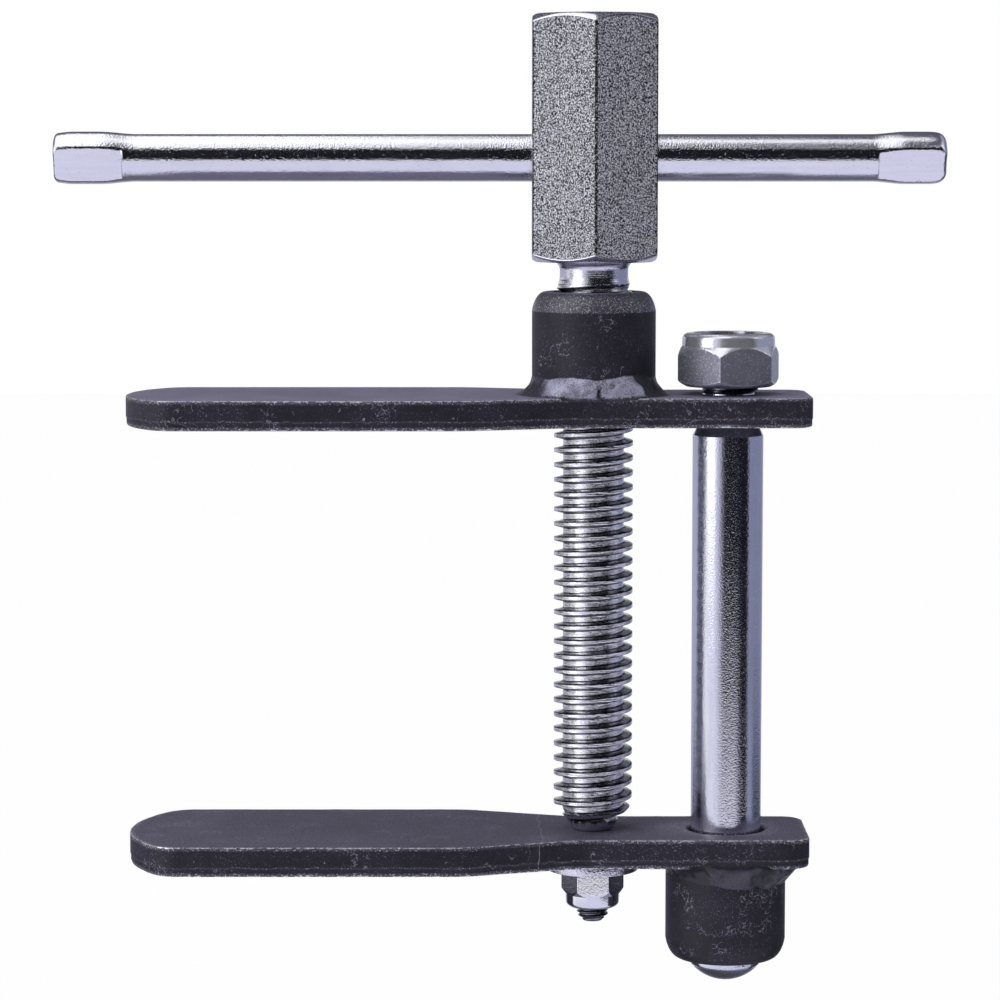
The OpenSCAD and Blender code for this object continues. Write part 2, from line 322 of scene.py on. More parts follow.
@dataclass(frozen=True)
class BlackPaint(Finish):
    """Thin blue-black paint over steel: speckled, scratched, rubbed through at its edges, with painted top
    light on faces that look up and painted glints on its worn edges.
    """

    name: str = "rubbed_black_paint"
    deep: Colour = (0.0125, 0.0110, 0.0205)
    pale: Colour = (0.026, 0.0235, 0.041)
    top_light_colour: Colour = (0.250, 0.232, 0.345)
    dust_and_glint: Colour = (0.30, 0.29, 0.38)
    steel: Colour = (0.84, 0.83, 0.88)
    rough: float = 0.52
    rough_play: float = 0.3
    rough_drop: float = 0.15
    gloss: float = 0.38
    ior: float = 1.5
    cloud_per_mm: float = 0.09
    cloud_span: Span = (0.3, 0.7)
    peel_per_mm: float = 1.7
    grit_per_mm: float = 3.6
    fine_per_mm: float = 3.2
    chip_per_mm: float = 0.8
    chip_level: float = 0.82
    chip_weight: float = 0.80
    wear_and_light_weight: float = 0.46
    bare_span: Span = (0.1, 0.6)
    speck_share: float = 0.615
    speck_span: Span = (0.40, 0.64)
    scratch_per_mm: float = 0.20
    scratch_width: float = 0.008
    scratch_share: float = 0.60
    scratch_patch_per_mm: float = 0.5
    scratch_lean: Triple = (1.0, 1.0, 0.7)
    tangle_per_mm: float = 0.7
    tangle_width: float = 0.022
    tangle_share: float = 0.58
    tangle_patch_per_mm: float = 0.13
    broken_span: Span = (0.35, 0.50)
    thin_share: float = 0.20
    glint_share: float = 0.54
    spark_share: float = 0.60
    spark_weight: float = 0.8
    peel_mm: float = 0.045
    top_light_level: float = 0.75
    top_light_grain: float = 3.0
    top_light_cloud: float = 0.8
    top_light_span: Span = (0.8, 0.97)
    score_x: Optional[float] = None
    score_width: float = 0.16
    score_wander: float = 3.0
    wander_per_mm: float = 0.15

    def shade(self, graph: Graph) -> None:
        """Writes the paint's nodes.

        Args:
            graph: The material's graph.
        """
        place = graph.place()
        cloud = graph.grain(place, self.cloud_per_mm, detail=4.0, rough=0.6)
        peel = graph.grain(place, self.peel_per_mm, detail=3.0, rough=0.65)
        grit = graph.grain(place, self.grit_per_mm)
        fine = graph.grain(place, self.fine_per_mm, rough=0.7)
        chips = graph.grain(place, self.chip_per_mm, detail=6.0, rough=0.75)
        wear_and_light = graph.wear_and_light()
        bare = wear_and_light.rise(*self.bare_span)
        rubbed = wear_and_light * self.wear_and_light_weight + chips * self.chip_weight
        rubbed = rubbed.rise(self.chip_level - 0.05, self.chip_level + 0.04)
        rubbed = rubbed.larger(bare * fine.above(self.spark_share, 0.06) * self.spark_weight)
        skin = graph.blend(cloud.rise(*self.cloud_span), self.deep, self.pale)
        # Painted top light: faces that look up are lightened towards top_light_colour, mottled by noise.
        painted_top_light = graph.blend(self.painted_top_light(graph, fine, cloud), skin, self.top_light_colour)
        specks = fine.above(self.speck_share, 0.07) * (0.18 + cloud.rise(*self.speck_span) * 0.5)
        marks = self.scratches(graph, place, grit).larger(specks)
        # Painted glints: on worn edges and the boss's crown, lighter specks in the dust colour stand in for
        # glints of light; thin_share lightens thinned paint there.
        marks = marks.larger(bare * (self.thin_share + fine.above(self.glint_share, 0.10)))
        play = cloud.swing(self.rough_play) + grit.swing(self.rough_play)
        graph.surface({
            "Base Color": graph.blend(rubbed, graph.blend(marks, painted_top_light, self.dust_and_glint), self.steel),
            "Metallic": rubbed,
            "Roughness": self.rough + play - rubbed * self.rough_drop,
            "Specular IOR Level": self.gloss,
            "IOR": self.ior,
            "Normal": graph.bump(peel + grit * 0.5 - rubbed * 0.6, self.peel_mm),
        })

    def painted_top_light(self, graph: Graph, fine: Value, cloud: Value) -> Value:
        """Returns the share of painted top light, which lightens only faces that look up.

        Args:
            graph: The material's graph.
            fine: Fine noise.
            cloud: Broad noise.

        Returns:
            The share of painted top light.
        """
        up = graph.axis(graph.node("ShaderNodeTexCoord", output="Normal"), "Z")
        mottle = fine.swing(self.top_light_grain) + cloud.swing(self.top_light_cloud)
        return up.rise(*self.top_light_span) * (self.top_light_level + mottle)

    def scratches(self, graph: Graph, place: Value, grit: Value) -> Value:
        """Returns lone scratches, tangles of fine scuffs and, where it is wanted, one long score.

        Args:
            graph: The material's graph.
            place: The point on the piece.
            grit: Noise that breaks the lines up.

        Returns:
            1 on a scratch and 0 elsewhere.
        """
        leaning = graph.stretch(place, self.scratch_lean)
        lines = graph.hairlines(leaning, self.scratch_per_mm, self.scratch_width)
        patches = graph.grain(place, self.scratch_patch_per_mm, detail=3.0)
        lines = lines * patches.above(self.scratch_share, 0.08)
        broken = grit.rise(*self.broken_span)
        tangle = graph.hairlines(place, self.tangle_per_mm, self.tangle_width)
        knots = graph.grain(place, self.tangle_patch_per_mm).above(self.tangle_share, 0.05)
        tangle = tangle * knots * broken
        found = lines.larger(tangle)
        if self.score_x is None:
            return found
        wander = graph.grain(place, self.wander_per_mm).swing(self.score_wander)
        off = abs(graph.axis(place, "X") - self.score_x - wander)
        return found.larger((1.0 - off.rise(0.0, self.score_width)) * broken)


@dataclass(frozen=True)
class WeldPaint(Finish):
    """The same paint, thin over a grainy weld bead: a grey painted highlight where the bead swells, painted
    shade in its hollows.
    """

    name: str = "painted_bead"
    deep: Colour = (0.020, 0.018, 0.028)
    pale: Colour = (0.50, 0.50, 0.66)
    rough: float = 0.34
    rough_play: float = 0.35
    metal: float = 0.45
    wear_and_light_weight: float = 0.62
    crown_span: Span = (0.10, 0.90)
    lump_per_mm: float = 0.45
    lump_play: float = 0.4
    grain_per_mm: float = 3.6
    grain_play: float = 1.3
    grain_mm: float = 0.10

    def shade(self, graph: Graph) -> None:
        """Writes the bead's nodes.

        Args:
            graph: The material's graph.
        """
        place = graph.place()
        lump = graph.grain(place, self.lump_per_mm, detail=3.0)
        grain = graph.grain(place, self.grain_per_mm, rough=0.6)
        play = grain.swing(self.grain_play) + lump.swing(self.lump_play)
        # Painted highlight and shade: the bead's mark lightens its swells towards pale and leaves its hollows
        # deep.
        crown = (graph.wear_and_light() * self.wear_and_light_weight + play).rise(*self.crown_span)
        graph.surface({
            "Base Color": graph.blend(crown, self.deep, self.pale),
            "Metallic": crown * self.metal,
            "Roughness": self.rough + grain.swing(self.rough_play),
            "Normal": graph.bump(lump + grain, self.grain_mm),
        })


@dataclass(frozen=True)
class DrawnZinc(Finish):
    """Zinc plate over drawn or turned steel: bright, faintly blue, with fine specks and streaks."""

    name: str = "plain_zinc"
    dark: Colour = (0.62, 0.62, 0.72)
    light: Colour = (0.84, 0.84, 0.94)
    metal: float = 1.0
    rough: float = 0.09
    rough_play: float = 0.08
    cloud_per_mm: float = 0.12
    streaks: Triple = (1.0, 1.0, 1.0)
    streak_per_mm: float = 1.2
    streak_lift: float = 0.5
    grain_per_mm: float = 3.0
    grain_mm: float = 0.03
    mottle_per_mm: float = 2.4
    pit_span: Span = (0.27, 0.35)
    speck: Colour = (0.10, 0.10, 0.12)
    glint: Colour = (0.80, 0.80, 0.88)
    glint_share: float = 0.665

    def shade(self, graph: Graph) -> None:
        """Writes the plating's nodes.

        Args:
            graph: The material's graph.
        """
        place = graph.place()
        cloud = graph.grain(place, self.cloud_per_mm, detail=3.0)
        drawn = graph.stretch(place, self.streaks)
        streak = graph.grain(drawn, self.streak_per_mm, detail=3.0, rough=0.6)
        grain = graph.grain(place, self.grain_per_mm, detail=1.5)
        mottle = graph.grain(place, self.mottle_per_mm, detail=3.0, rough=0.7)
        pits = 1.0 - mottle.rise(*self.pit_span)
        glints = mottle.above(self.glint_share, 0.05)
        plate = graph.blend(streak * 0.6 + cloud * 0.4, self.dark, self.light)
        dressed = graph.blend(pits * 0.7, self.dress(graph, place, plate, streak), self.speck)
        play = cloud.swing(self.rough_play) + grain * self.rough_play
        graph.surface({
            "Base Color": graph.blend(glints, dressed, self.glint),
            "Metallic": self.metal - glints * 0.7,
            "Roughness": self.rough + play + pits * 0.25 - self.sheen(graph),
            "Normal": graph.bump(grain + streak * self.streak_lift - pits * 0.3, self.grain_mm),
        })

    def dress(self, graph: Graph, place: Value, plate: Value, streak: Value) -> Value:
        """Returns the plating's colour, which kinds of this finish change where a mark says so."""
        return plate

    def sheen(self, graph: Graph) -> Number:
        """Returns how much smoother the plating is where it is polished."""
        return 0.0


@dataclass(frozen=True)
class CutThread(DrawnZinc):
    """Zinc plate over a cut thread: bright on crests and roots, with painted shade darkening the flanks."""

    painted_flank_shade: Colour = (0.055, 0.054, 0.070)
    streak_weight: float = 1.1
    lowest: float = 0.0
    unshaded: float = 0.42

    def dress(self, graph: Graph, place: Value, plate: Value, streak: Value) -> Value:
        """Returns the plating darkened by painted shade where the thread's mark is low."""
        mark = (graph.wear_and_light() + streak.swing(self.streak_weight)).rise(self.lowest, self.unshaded)
        return graph.blend(mark, self.painted_flank_shade, plate)


@dataclass(frozen=True)
class RolledNut(DrawnZinc):
    """Zinc plate over a cold-formed nut: grey flats with light flecks, and polished edges and collar."""

    rough: float = 0.27
    streak_lift: float = 0.0
    polish: Colour = (0.80, 0.80, 0.88)
    polish_share: float = 0.6
    worn_span: Span = (0.2, 0.8)
    fleck_per_mm: float = 3.0
    fleck_share: float = 0.57
    fleck_weight: float = 0.7

    def dress(self, graph: Graph, place: Value, plate: Value, streak: Value) -> Value:
        """Returns the plating with polish where the nut is marked, and flecks of it elsewhere."""
        flecks = graph.grain(place, self.fleck_per_mm).above(self.fleck_share, 0.08)
        return graph.blend(self.worn(graph).larger(flecks * self.fleck_weight), plate, self.polish)

    def sheen(self, graph: Graph) -> Number:
        """Returns how much smoother the edges and the collar are."""
        return self.worn(graph) * self.rough * self.polish_share

    def worn(self, graph: Graph) -> Value:
        """Returns where the nut is polished."""
        return graph.wear_and_light().rise(*self.worn_span)


@dataclass(frozen=True)
class PeenedZinc(Finish):
    """Zinc plate over a coarse blasted surface: a tight stipple whose pits are painted near black as shade,
    smooth where it is turned.
    """

    name: str = "peened_zinc"
    pit_shade: Colour = (0.008, 0.008, 0.013)
    crown: Colour = (0.92, 0.93, 1.0)
    turned: Colour = (0.72, 0.72, 0.80)
    metal: float = 0.45
    per_mm: float = 3.3
    fine_share: float = 0.3
    wear_and_light_weight: float = 0.12
    crown_span: Span = (0.488, 0.540)
    turned_span: Span = (0.15, 0.5)
    rough: float = 0.30
    depth_mm: float = 0.17

    def shade(self, graph: Graph) -> None:
        """Writes the stipple's nodes.

        Args:
            graph: The material's graph.
        """
        place = graph.place()
        stipple = graph.grain(place, self.per_mm, rough=0.6)
        fine = graph.grain(place, self.per_mm * 2.0, detail=1.0)
        wear_and_light = graph.wear_and_light()
        turned = wear_and_light.rise(*self.turned_span)
        mixed = stipple * (1.0 - self.fine_share) + fine * self.fine_share
        # Painted shade: the stipple's low points take the near-black pit colour.
        crown = (mixed + wear_and_light * self.wear_and_light_weight).rise(*self.crown_span)
        graph.surface({
            "Base Color": graph.blend(turned, graph.blend(crown, self.pit_shade, self.crown), self.turned),
            "Metallic": self.metal + turned * (1.0 - self.metal),
            "Roughness": self.rough + (1.0 - crown) * 0.2 - turned * 0.15,
            "Normal": graph.bump((stipple + fine * 0.4) * (1.0 - turned), self.depth_mm),
        })


@dataclass(frozen=True)
class MouldedRing(Finish):
    """Matt moulded plastic of a locking ring, faintly mottled."""

    name: str = "ring_plastic"
    deep: Colour = (0.045, 0.10, 0.30)
    pale: Colour = (0.08, 0.16, 0.40)
    rough: float = 0.5
    rough_play: float = 0.2
    mottle_per_mm: float = 1.2
    mottle_mm: float = 0.02

    def shade(self, graph: Graph) -> None:
        """Writes the plastic's nodes.

        Args:
            graph: The material's graph.
        """
        place = graph.place()
        mottle = graph.grain(place, self.mottle_per_mm, detail=3.0)
        graph.surface({
            "Base Color": graph.blend(mottle, self.deep, self.pale),
            "Roughness": self.rough + mottle.swing(self.rough_play),
            "Normal": graph.bump(mottle, self.mottle_mm),
        })


PAINT = BlackPaint()
# The lower arm: a weaker painted top light, and one long score.
SCORED_PAINT = BlackPaint(name="scored_black_paint", top_light_colour=(0.135, 0.122, 0.185), score_x=-10.9)
# The boss's crown: glossier paint, with more painted glints where it is marked.
CROWN_PAINT = BlackPaint(
    name="polished_black_paint", rough=0.42, gloss=0.5, ior=1.8, thin_share=0.08, glint_share=0.53,
    peel_mm=0.08,
)
# Both beads carry WeldPaint's painted highlight on their swells; on the sleeve's bead, which faces down, it
# is faint.
BOSS_BEAD = WeldPaint()
SLEEVE_BEAD = WeldPaint(name="smooth_bead", pale=(0.080, 0.076, 0.105), metal=0.2, grain_mm=0.02)
BAR_ZINC = DrawnZinc(
    name="bar_zinc", dark=(0.72, 0.72, 0.80), light=(0.92, 0.92, 0.98), streaks=(0.08, 1.0, 1.0),
    grain_mm=0.045,
)
ROD_ZINC = DrawnZinc(name="rod_zinc", streaks=(1.0, 1.0, 0.06))
SCREW_ZINC = CutThread(
    name="screw_zinc", dark=(0.78, 0.78, 0.84), light=(0.97, 0.97, 1.0), rough=0.11,
    streaks=(0.2, 0.2, 2.4), streak_lift=4.5, grain_mm=0.035,
)
NECK_ZINC = DrawnZinc(
    name="neck_zinc", rough=0.16, streaks=(0.12, 0.12, 2.4), streak_lift=2.0, grain_mm=0.025
)
# Painted shade: a darker copy of the spindle's zinc, on the tail and on the guide rod's dome and stud.
SHADED_TAIL_ZINC = CutThread(name="shaded_tail_zinc", dark=(0.20, 0.20, 0.24), light=(0.36, 0.36, 0.42), rough=0.25)
# Painted shade: a darker copy of the nuts' dull zinc.
SHADED_ROD_NUT_ZINC = RolledNut(
    name="shaded_rod_nut_zinc", dark=(0.26, 0.26, 0.33), light=(0.46, 0.46, 0.57), metal=0.72
)
TAIL_NUT_ZINC = RolledNut(
    name="tail_nut_zinc", dark=(0.80, 0.80, 0.87), light=(0.94, 0.94, 1.0), rough=0.08, grain_mm=0.01
)
WASHER_ZINC = RolledNut(
    name="washer_zinc", dark=(0.10, 0.10, 0.13), light=(0.80, 0.80, 0.88), grain_mm=0.10
)
HEX_ZINC = PeenedZinc()
RING_PLASTIC = MouldedRing()


@dataclass(frozen=True)
class Corner:
    """A corner of a section or an outline: its place, its rounding, and its mark for wear, which on threads
    and the drive hexagon's corners sets painted shade.
    """

    x: float
    z: float
    rounding: float = 0.0
    wear_and_light: float = 0.0


def step(low: float, high: float, x: Union[float, np.ndarray]) -> np.ndarray:
    """Returns a smooth step from 0 at low to 1 at high."""
    t = np.clip((x - low) / (high - low), 0.0, 1.0)
    return t * t * (3.0 - 2.0 * t)


def ripple(points: np.ndarray, size: float, seed: float = 0.0) -> np.ndarray:
    """Returns noise from -1 to 1 at points, with bumps of about the given size."""
    flat = points.reshape(-1, 3) / size + seed
    return np.array([noise.noise(Vector(p)) for p in flat]).reshape(points.shape[:-1])


def rounded(corners: Sequence[Corner], closed: bool = False, steps: int = 5) -> np.ndarray:
    """Rounds the corners of a polyline.

    Args:
        corners: The corners in order.
        closed: Whether the last corner joins the first.
        steps: Segments in each rounding.

    Returns:
        Rows of x, z and the mark for wear and painted light.
    """
    rows: list[tuple[float, float, float]] = []
    count = len(corners)
    for i, corner in enumerate(corners):
        at_end = not closed and i in (0, count - 1)
        if corner.rounding <= 0 or at_end:
            rows.append((corner.x, corner.z, corner.wear_and_light))
            continue
        here = np.array((corner.x, corner.z))
        before = np.array((corners[i - 1].x, corners[i - 1].z)) - here
        after = np.array((corners[(i + 1) % count].x, corners[(i + 1) % count].z)) - here
        spans = np.linalg.norm(before), np.linalg.norm(after)
        u, v = before / spans[0], after / spans[1]
        half = math.acos(max(-1.0, min(1.0, float(u @ v)))) / 2
        reach = min(corner.rounding / math.tan(half), ROUND_REACH * min(spans))
        centre = here + (u + v) / np.linalg.norm(u + v) * reach / math.cos(half)
        start, end = here + u * reach - centre, here + v * reach - centre
        a0, a1 = math.atan2(start[1], start[0]), math.atan2(end[1], end[0])
        turn = (a1 - a0 + math.pi) % (2 * math.pi) - math.pi
        radius = reach * math.tan(half)
        for k in range(steps + 1):
            a = a0 + turn * k / steps
            rows.append((centre[0] + radius * math.cos(a), centre[1] + radius * math.sin(a), corner.wear_and_light))
    return np.array(rows)


def arc(x: float, y: float, r: float, start: float, end: float) -> list[tuple[float, float]]:
    """Returns points along an arc between two angles in degrees."""
    angles = np.radians(np.linspace(start, end, ARC_STEPS + 1))
    return [(x + r * math.cos(a), y + r * math.sin(a)) for a in angles]


def lathe(section: np.ndarray, axis_x: float = 0.0) -> np.ndarray:
    """Returns a section of radii and heights turned round an upright axis, by column and row.

    Args:
        section: Rows that start with a radius and a height.
        axis_x: The axis's place along X.

    Returns:
        The points by column and row.
    """
    angles = np.arange(COLUMNS) * 2 * math.pi / COLUMNS
    radius, height = section[None, :, 0], section[None, :, 1]
    x = axis_x + radius * np.cos(angles)[:, None]
    y = radius * np.sin(angles)[:, None]
    return np.stack([x, y, np.broadcast_to(height, x.shape)], axis=-1)


def rounded_end(
    radius: float,
    end: float,
    up: int,
    inward: float,
    drop: float,
    start_deg: float = 0.0,
    mark: float = 0.0,
) -> list[Corner]:
    """Returns the rounded end of a turned post as a quarter of an ellipse.

    Args:
        radius: The post's radius.
        end: Height of its end.
        up: 1 where the end faces up, -1 where it faces down.
        inward: How far the rounding reaches in from the side.
        drop: How far it reaches back from the end.
        start_deg: Bend at the side, where a start above 0 leaves a visible break.
        mark: Mark for wear and painted glints, which fades towards the end.

    Returns:
        The corners from the side to the end.
    """
    start = math.radians(start_deg)
    return [
        Corner(
            radius - inward * (math.cos(start) - math.cos(a)) / math.cos(start),
            end - up * drop * (1 - math.sin(a)) / (1 - math.sin(start)),
            0.0,
            mark * math.cos(a - start),
        )
        for a in np.linspace(start, math.pi / 2, CROWN_STEPS)
    ]


class Draft:
    """A mesh being drawn in millimetres, with a mark on its points for worn edges and for painted highlight
    and shade.
    """

    def __init__(self) -> None:
        """Starts an empty mesh."""
        self.points: list[np.ndarray] = []
        self.marks: list[np.ndarray] = []
        self.quads: list[np.ndarray] = []
        self.dress: list[np.ndarray] = []
        self.count = 0

    def add(
        self,
        grid: np.ndarray,
        wear_and_light: Optional[np.ndarray] = None,
        loop: bool = False,
        around: bool = True,
        dress: int = 0,
    ) -> "Draft":
        """Adds a grid of points as quads.

        Args:
            grid: Points by column and row.
            wear_and_light: Marks for worn edges and painted light, by row, or by column and row.
            loop: Whether the last row joins the first.
            around: Whether the last column joins the first.
            dress: The material's place on the piece.

        Returns:
            This draft.
        """
        columns, rows = grid.shape[:2]
        across, along = columns if around else columns - 1, rows if loop else rows - 1
        i, j = np.meshgrid(np.arange(across), np.arange(along), indexing="ij")
        i2, j2 = (i + 1) % columns, (j + 1) % rows
        quads = np.stack([i * rows + j, i2 * rows + j, i2 * rows + j2, i * rows + j2], axis=-1)
        self.quads.append(quads.reshape(-1, 4) + self.count)
        self.dress.append(np.full(quads.size // 4, dress))
        self.points.append(grid.reshape(-1, 3))
        marks = np.zeros((columns, rows)) if wear_and_light is None else np.broadcast_to(wear_and_light, (columns, rows))
        self.marks.append(marks.reshape(-1))
        self.count += columns * rows
        return self

    def turned(
        self, section: np.ndarray, axis_x: float = 0.0, loop: bool = False, dress: int = 0
    ) -> "Draft":
        """Adds a turned section with the marks for wear and painted light of its third column."""
        return self.add(lathe(section, axis_x), section[None, :, 2], loop, True, dress)

    def mesh(
        self, name: str, levels: Sequence[float] = (), sharp_deg: float = SHARP_DEG
    ) -> bpy.types.Mesh:
        """Welds the grids into a mesh.

        Args:
            name: The mesh's name.
            levels: Heights at which open rims are filled flat, with their holes left out.
            sharp_deg: Bend from which an edge is shaded as sharp.

        Returns:
            The mesh in metres, smooth but for its sharp edges.
        """
        mesh = bpy.data.meshes.new(name)
        points, quads = np.concatenate(self.points), np.concatenate(self.quads)
        mesh.from_pydata(points.tolist(), [], quads.tolist())
        layer = mesh.attributes.new(WEAR_AND_LIGHT, "FLOAT", "POINT")
        layer.data.foreach_set("value", np.concatenate(self.marks).astype(np.float32))
        mesh.polygons.foreach_set("material_index", np.concatenate(self.dress).astype(np.int32))
        work = bmesh.new()
        work.from_mesh(mesh)
        bmesh.ops.remove_doubles(work, verts=work.verts, dist=MERGE)
        bmesh.ops.dissolve_degenerate(work, dist=MERGE, edges=work.edges)
        for level in levels:
            rim = self._rim(work, level)
            bmesh.ops.triangle_fill(work, use_beauty=True, use_dissolve=False, edges=rim)
        bmesh.ops.recalc_face_normals(work, faces=work.faces)
        bmesh.ops.scale(work, vec=(MM, MM, MM), verts=work.verts)
        for face in work.faces:
            face.smooth = True
        work.to_mesh(mesh)
        work.free()
        mesh.set_sharp_from_angle(angle=math.radians(sharp_deg))
        return mesh

    @staticmethod
    def _rim(work: bmesh.types.BMesh, level: float) -> list[bmesh.types.BMEdge]:
        """Returns the open edges at a height."""
        return [
            edge
            for edge in work.edges
            if edge.is_boundary and all(abs(vert.co.z - level) < MERGE for vert in edge.verts)
        ]


@dataclass
class Box:
    """The box of a CAD node in millimetres."""

    low: np.ndarray
    high: np.ndarray

    @classmethod
    def of(cls, node: str) -> "Box":
        """Returns a node's box."""
        low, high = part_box(node)
        return cls(np.array(low) / MM, np.array(high) / MM)

    @property
    def size(self) -> np.ndarray:
        """Returns the box's lengths."""
        return self.high - self.low

    @property
    def middle(self) -> np.ndarray:
        """Returns the box's middle."""
        return (self.high + self.low) / 2


def set_piece(
    mesh: bpy.types.Mesh, finishes: Sequence[Finish], body: Body, slot: Slot, node: str
) -> bpy.types.Object:
    """Puts a dressed mesh in the place of its CAD node.

    Args:
        mesh: The finished mesh.
        finishes: Its finishes, in the order of its material places.
        body: The body that it rides on.
        slot: The record's slot for its main finish; not used.
        node: The CAD node that it stands for.

    Returns:
        The piece.
    """
    piece = bpy.data.objects.new(f"{node}_dressed", mesh)
    bpy.context.scene.collection.objects.link(piece)
    for finish in finishes:
        mesh.materials.append(finish.material())
    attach(piece, body.value)
    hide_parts(node)
    log.info("%s: %d faces, rides on %s", piece.name, len(mesh.polygons), body.value)
    return piece


@dataclass
class Hole:
    """A hole through an arm, as a section of radii and heights from its lower rim to its upper rim."""

    x: float
    section: Sequence[Corner]


@dataclass
class Plate:
    """A flame-cut arm: a wide jaw with a curved tip, a taper, and a narrow shank with a square end."""

    low: float
    high: float
    end_x: float
    jaw_reach: float
    jaw_w: float
    shank_w: float = 26.6
    taper_start: float = 4.0
    taper_len: float = 22.0
    taper_r: float = 18.0
    tip_r: float = 31.0
    tip_corner_r: float = 7.0
    end_corner_r: float = 4.5
    edge: float = 0.42
    edge_play: float = 0.30
    edge_bevel: float = 0.3
    edge_fade: float = 0.9
    flat_in: float = 3.0
    side_in: float = 0.7
    tear: float = 0.14
    tear_h: float = 1.8
    tear_play: float = 0.25
    tear_lead: float = 0.4
    tear_run: float = 0.35
    foot_lead: float = 0.5
    spacing: float = 0.7
    wave: float = 5.0
    fine_wave: float = 1.4
    fine_share: float = 0.4
    tear_wave: float = 2.5
    seed: float = 3.0
    holes: list[Hole] = field(default_factory=list)

    @classmethod
    def from_node(cls, node: str, **sizes: Any) -> "Plate":
        """Takes an arm's main sizes from its CAD node."""
        box = Box.of(node)
        return cls(box.low[2], box.high[2], box.high[0], -box.low[0], box.size[1], **sizes)

    def half_outline(self) -> list[tuple[float, float]]:
        """Returns the outline on the +Y side, from the square end to the middle of the tip.

        Returns:
            Points of x and y, close together only in the roundings.
        """
        shank, jaw, end_r = self.shank_w / 2, self.jaw_w / 2, self.end_corner_r
        taper = math.degrees(math.atan2(jaw - shank, self.taper_len))
        tangent = self.taper_r * math.tan(math.radians(taper) / 2)
        tip_x = self.tip_r - self.jaw_reach
        corner_y = jaw - self.tip_corner_r
        corner_dx = math.sqrt((self.tip_r - self.tip_corner_r) ** 2 - corner_y ** 2)
        tip = math.degrees(math.atan2(corner_y, corner_dx))
        wide_x = -self.taper_start - self.taper_len - tangent
        return [
            (self.end_x, 0.0),
            *arc(self.end_x - end_r, shank - end_r, end_r, 0, 90),
            *arc(tangent - self.taper_start, shank + self.taper_r, self.taper_r, 270, 270 - taper),
            *arc(wide_x, jaw - self.taper_r, self.taper_r, 90 - taper, 90),
            *arc(tip_x - corner_dx, corner_y, self.tip_corner_r, 90, 180 - tip),
            *arc(tip_x, 0, self.tip_r, 180 - tip, 180),
        ]

    def outline(self) -> np.ndarray:
        """Returns evenly spaced points round the whole outline.

        Returns:
            Rows of x and y.
        """
        half = np.array(self.half_outline())
        whole = np.concatenate([half, half[-2:0:-1] * (1, -1), half[:1]])
        along = np.concatenate([[0], np.cumsum(np.linalg.norm(np.diff(whole, axis=0), axis=1))])
        count = int(along[-1] / self.spacing)
        at = np.arange(count) * along[-1] / count
        return np.stack([np.interp(at, along, whole[:, k]) for k in (0, 1)], axis=1)

    def mesh(self, name: str) -> bpy.types.Mesh:
        """Builds the plate with rubbed, uneven edges and its holes.

        Args:
            name: The mesh's name.

        Returns:
            The plate's mesh.
        """
        line = self.outline()
        ahead = np.roll(line, -1, axis=0) - np.roll(line, 1, axis=0)
        inward = np.stack([-ahead[:, 1], ahead[:, 0]], axis=1)
        inward = inward / np.linalg.norm(ahead, axis=1)[:, None]
        ones = np.ones((len(line), 1))
        points = []
        marks = []
        for inset, drop, mark in self._edge_rows(line):
            place = line + inward * (ones * np.reshape(inset, (-1, 1)))
            points.append(np.concatenate([place, self.high - ones * np.reshape(drop, (-1, 1))], axis=1))
            marks.append(mark)
        draft = Draft().add(np.stack(points, axis=1), np.array(marks)[None, :])
        for hole in self.holes:
            draft.turned(rounded(hole.section), hole.x)
        return draft.mesh(name, (self.low, self.high))

    def _edge_rows(self, line: np.ndarray) -> list[tuple[Any, Any, float]]:
        """Returns the rows over the plate's edge, from its top to its underside.

        Args:
            line: The outline's points.

        Returns:
            Each row's distance in from the outline, its distance down from the top, and its mark for worn
            edges.
        """
        flat = np.concatenate([line, np.zeros((len(line), 1))], axis=1)
        waves = (
            (1 - self.fine_share) * ripple(flat, self.wave, seed)
            + self.fine_share * ripple(flat, self.fine_wave, seed + 9)
            for seed in (self.seed, self.seed + 1)
        )
        top, foot = (self.edge + self.edge_play * wave for wave in waves)
        depth, torn, bevel = self.high - self.low, self.tear, self.edge_bevel
        shear = depth - self.tear_h + self.tear_play * ripple(flat, self.tear_wave, self.seed + 20)
        return [
            (self.flat_in, 0.0, 0.0),
            (top + self.edge_fade, 0.0, 0.0),
            (top, 0.0, 0.5),
            (top * bevel, top * bevel, 1.0),
            (0.0, top, 0.5),
            (0.0, top + self.side_in, 0.0),
            (0.0, shear - self.tear_lead, 0.05),
            (0.0, shear, 0.34),
            (torn, shear + self.tear_run, 0.1),
            (torn, depth - foot - self.foot_lead, 0.1),
            (torn, depth - foot, 0.6),
            (torn + foot * bevel, depth - foot * bevel, 0.9),
            (torn + foot, depth, 0.6),
            (torn + foot + self.edge_fade, depth, 0.05),
            (self.flat_in, depth, 0.0),
        ]

    def reach_from(self, x: float, angles: np.ndarray) -> np.ndarray:
        """Returns how far the outline is from a point on the middle line, at angles in radians.

        Args:
            x: The point's place along X.
            angles: The angles.

        Returns:
            A distance for each angle.
        """
        rays = self.outline() - (x, 0.0)
        turns, lengths = np.arctan2(rays[:, 1], rays[:, 0]), np.linalg.norm(rays, axis=1)
        return np.interp(angles, turns, lengths, period=2 * math.pi)


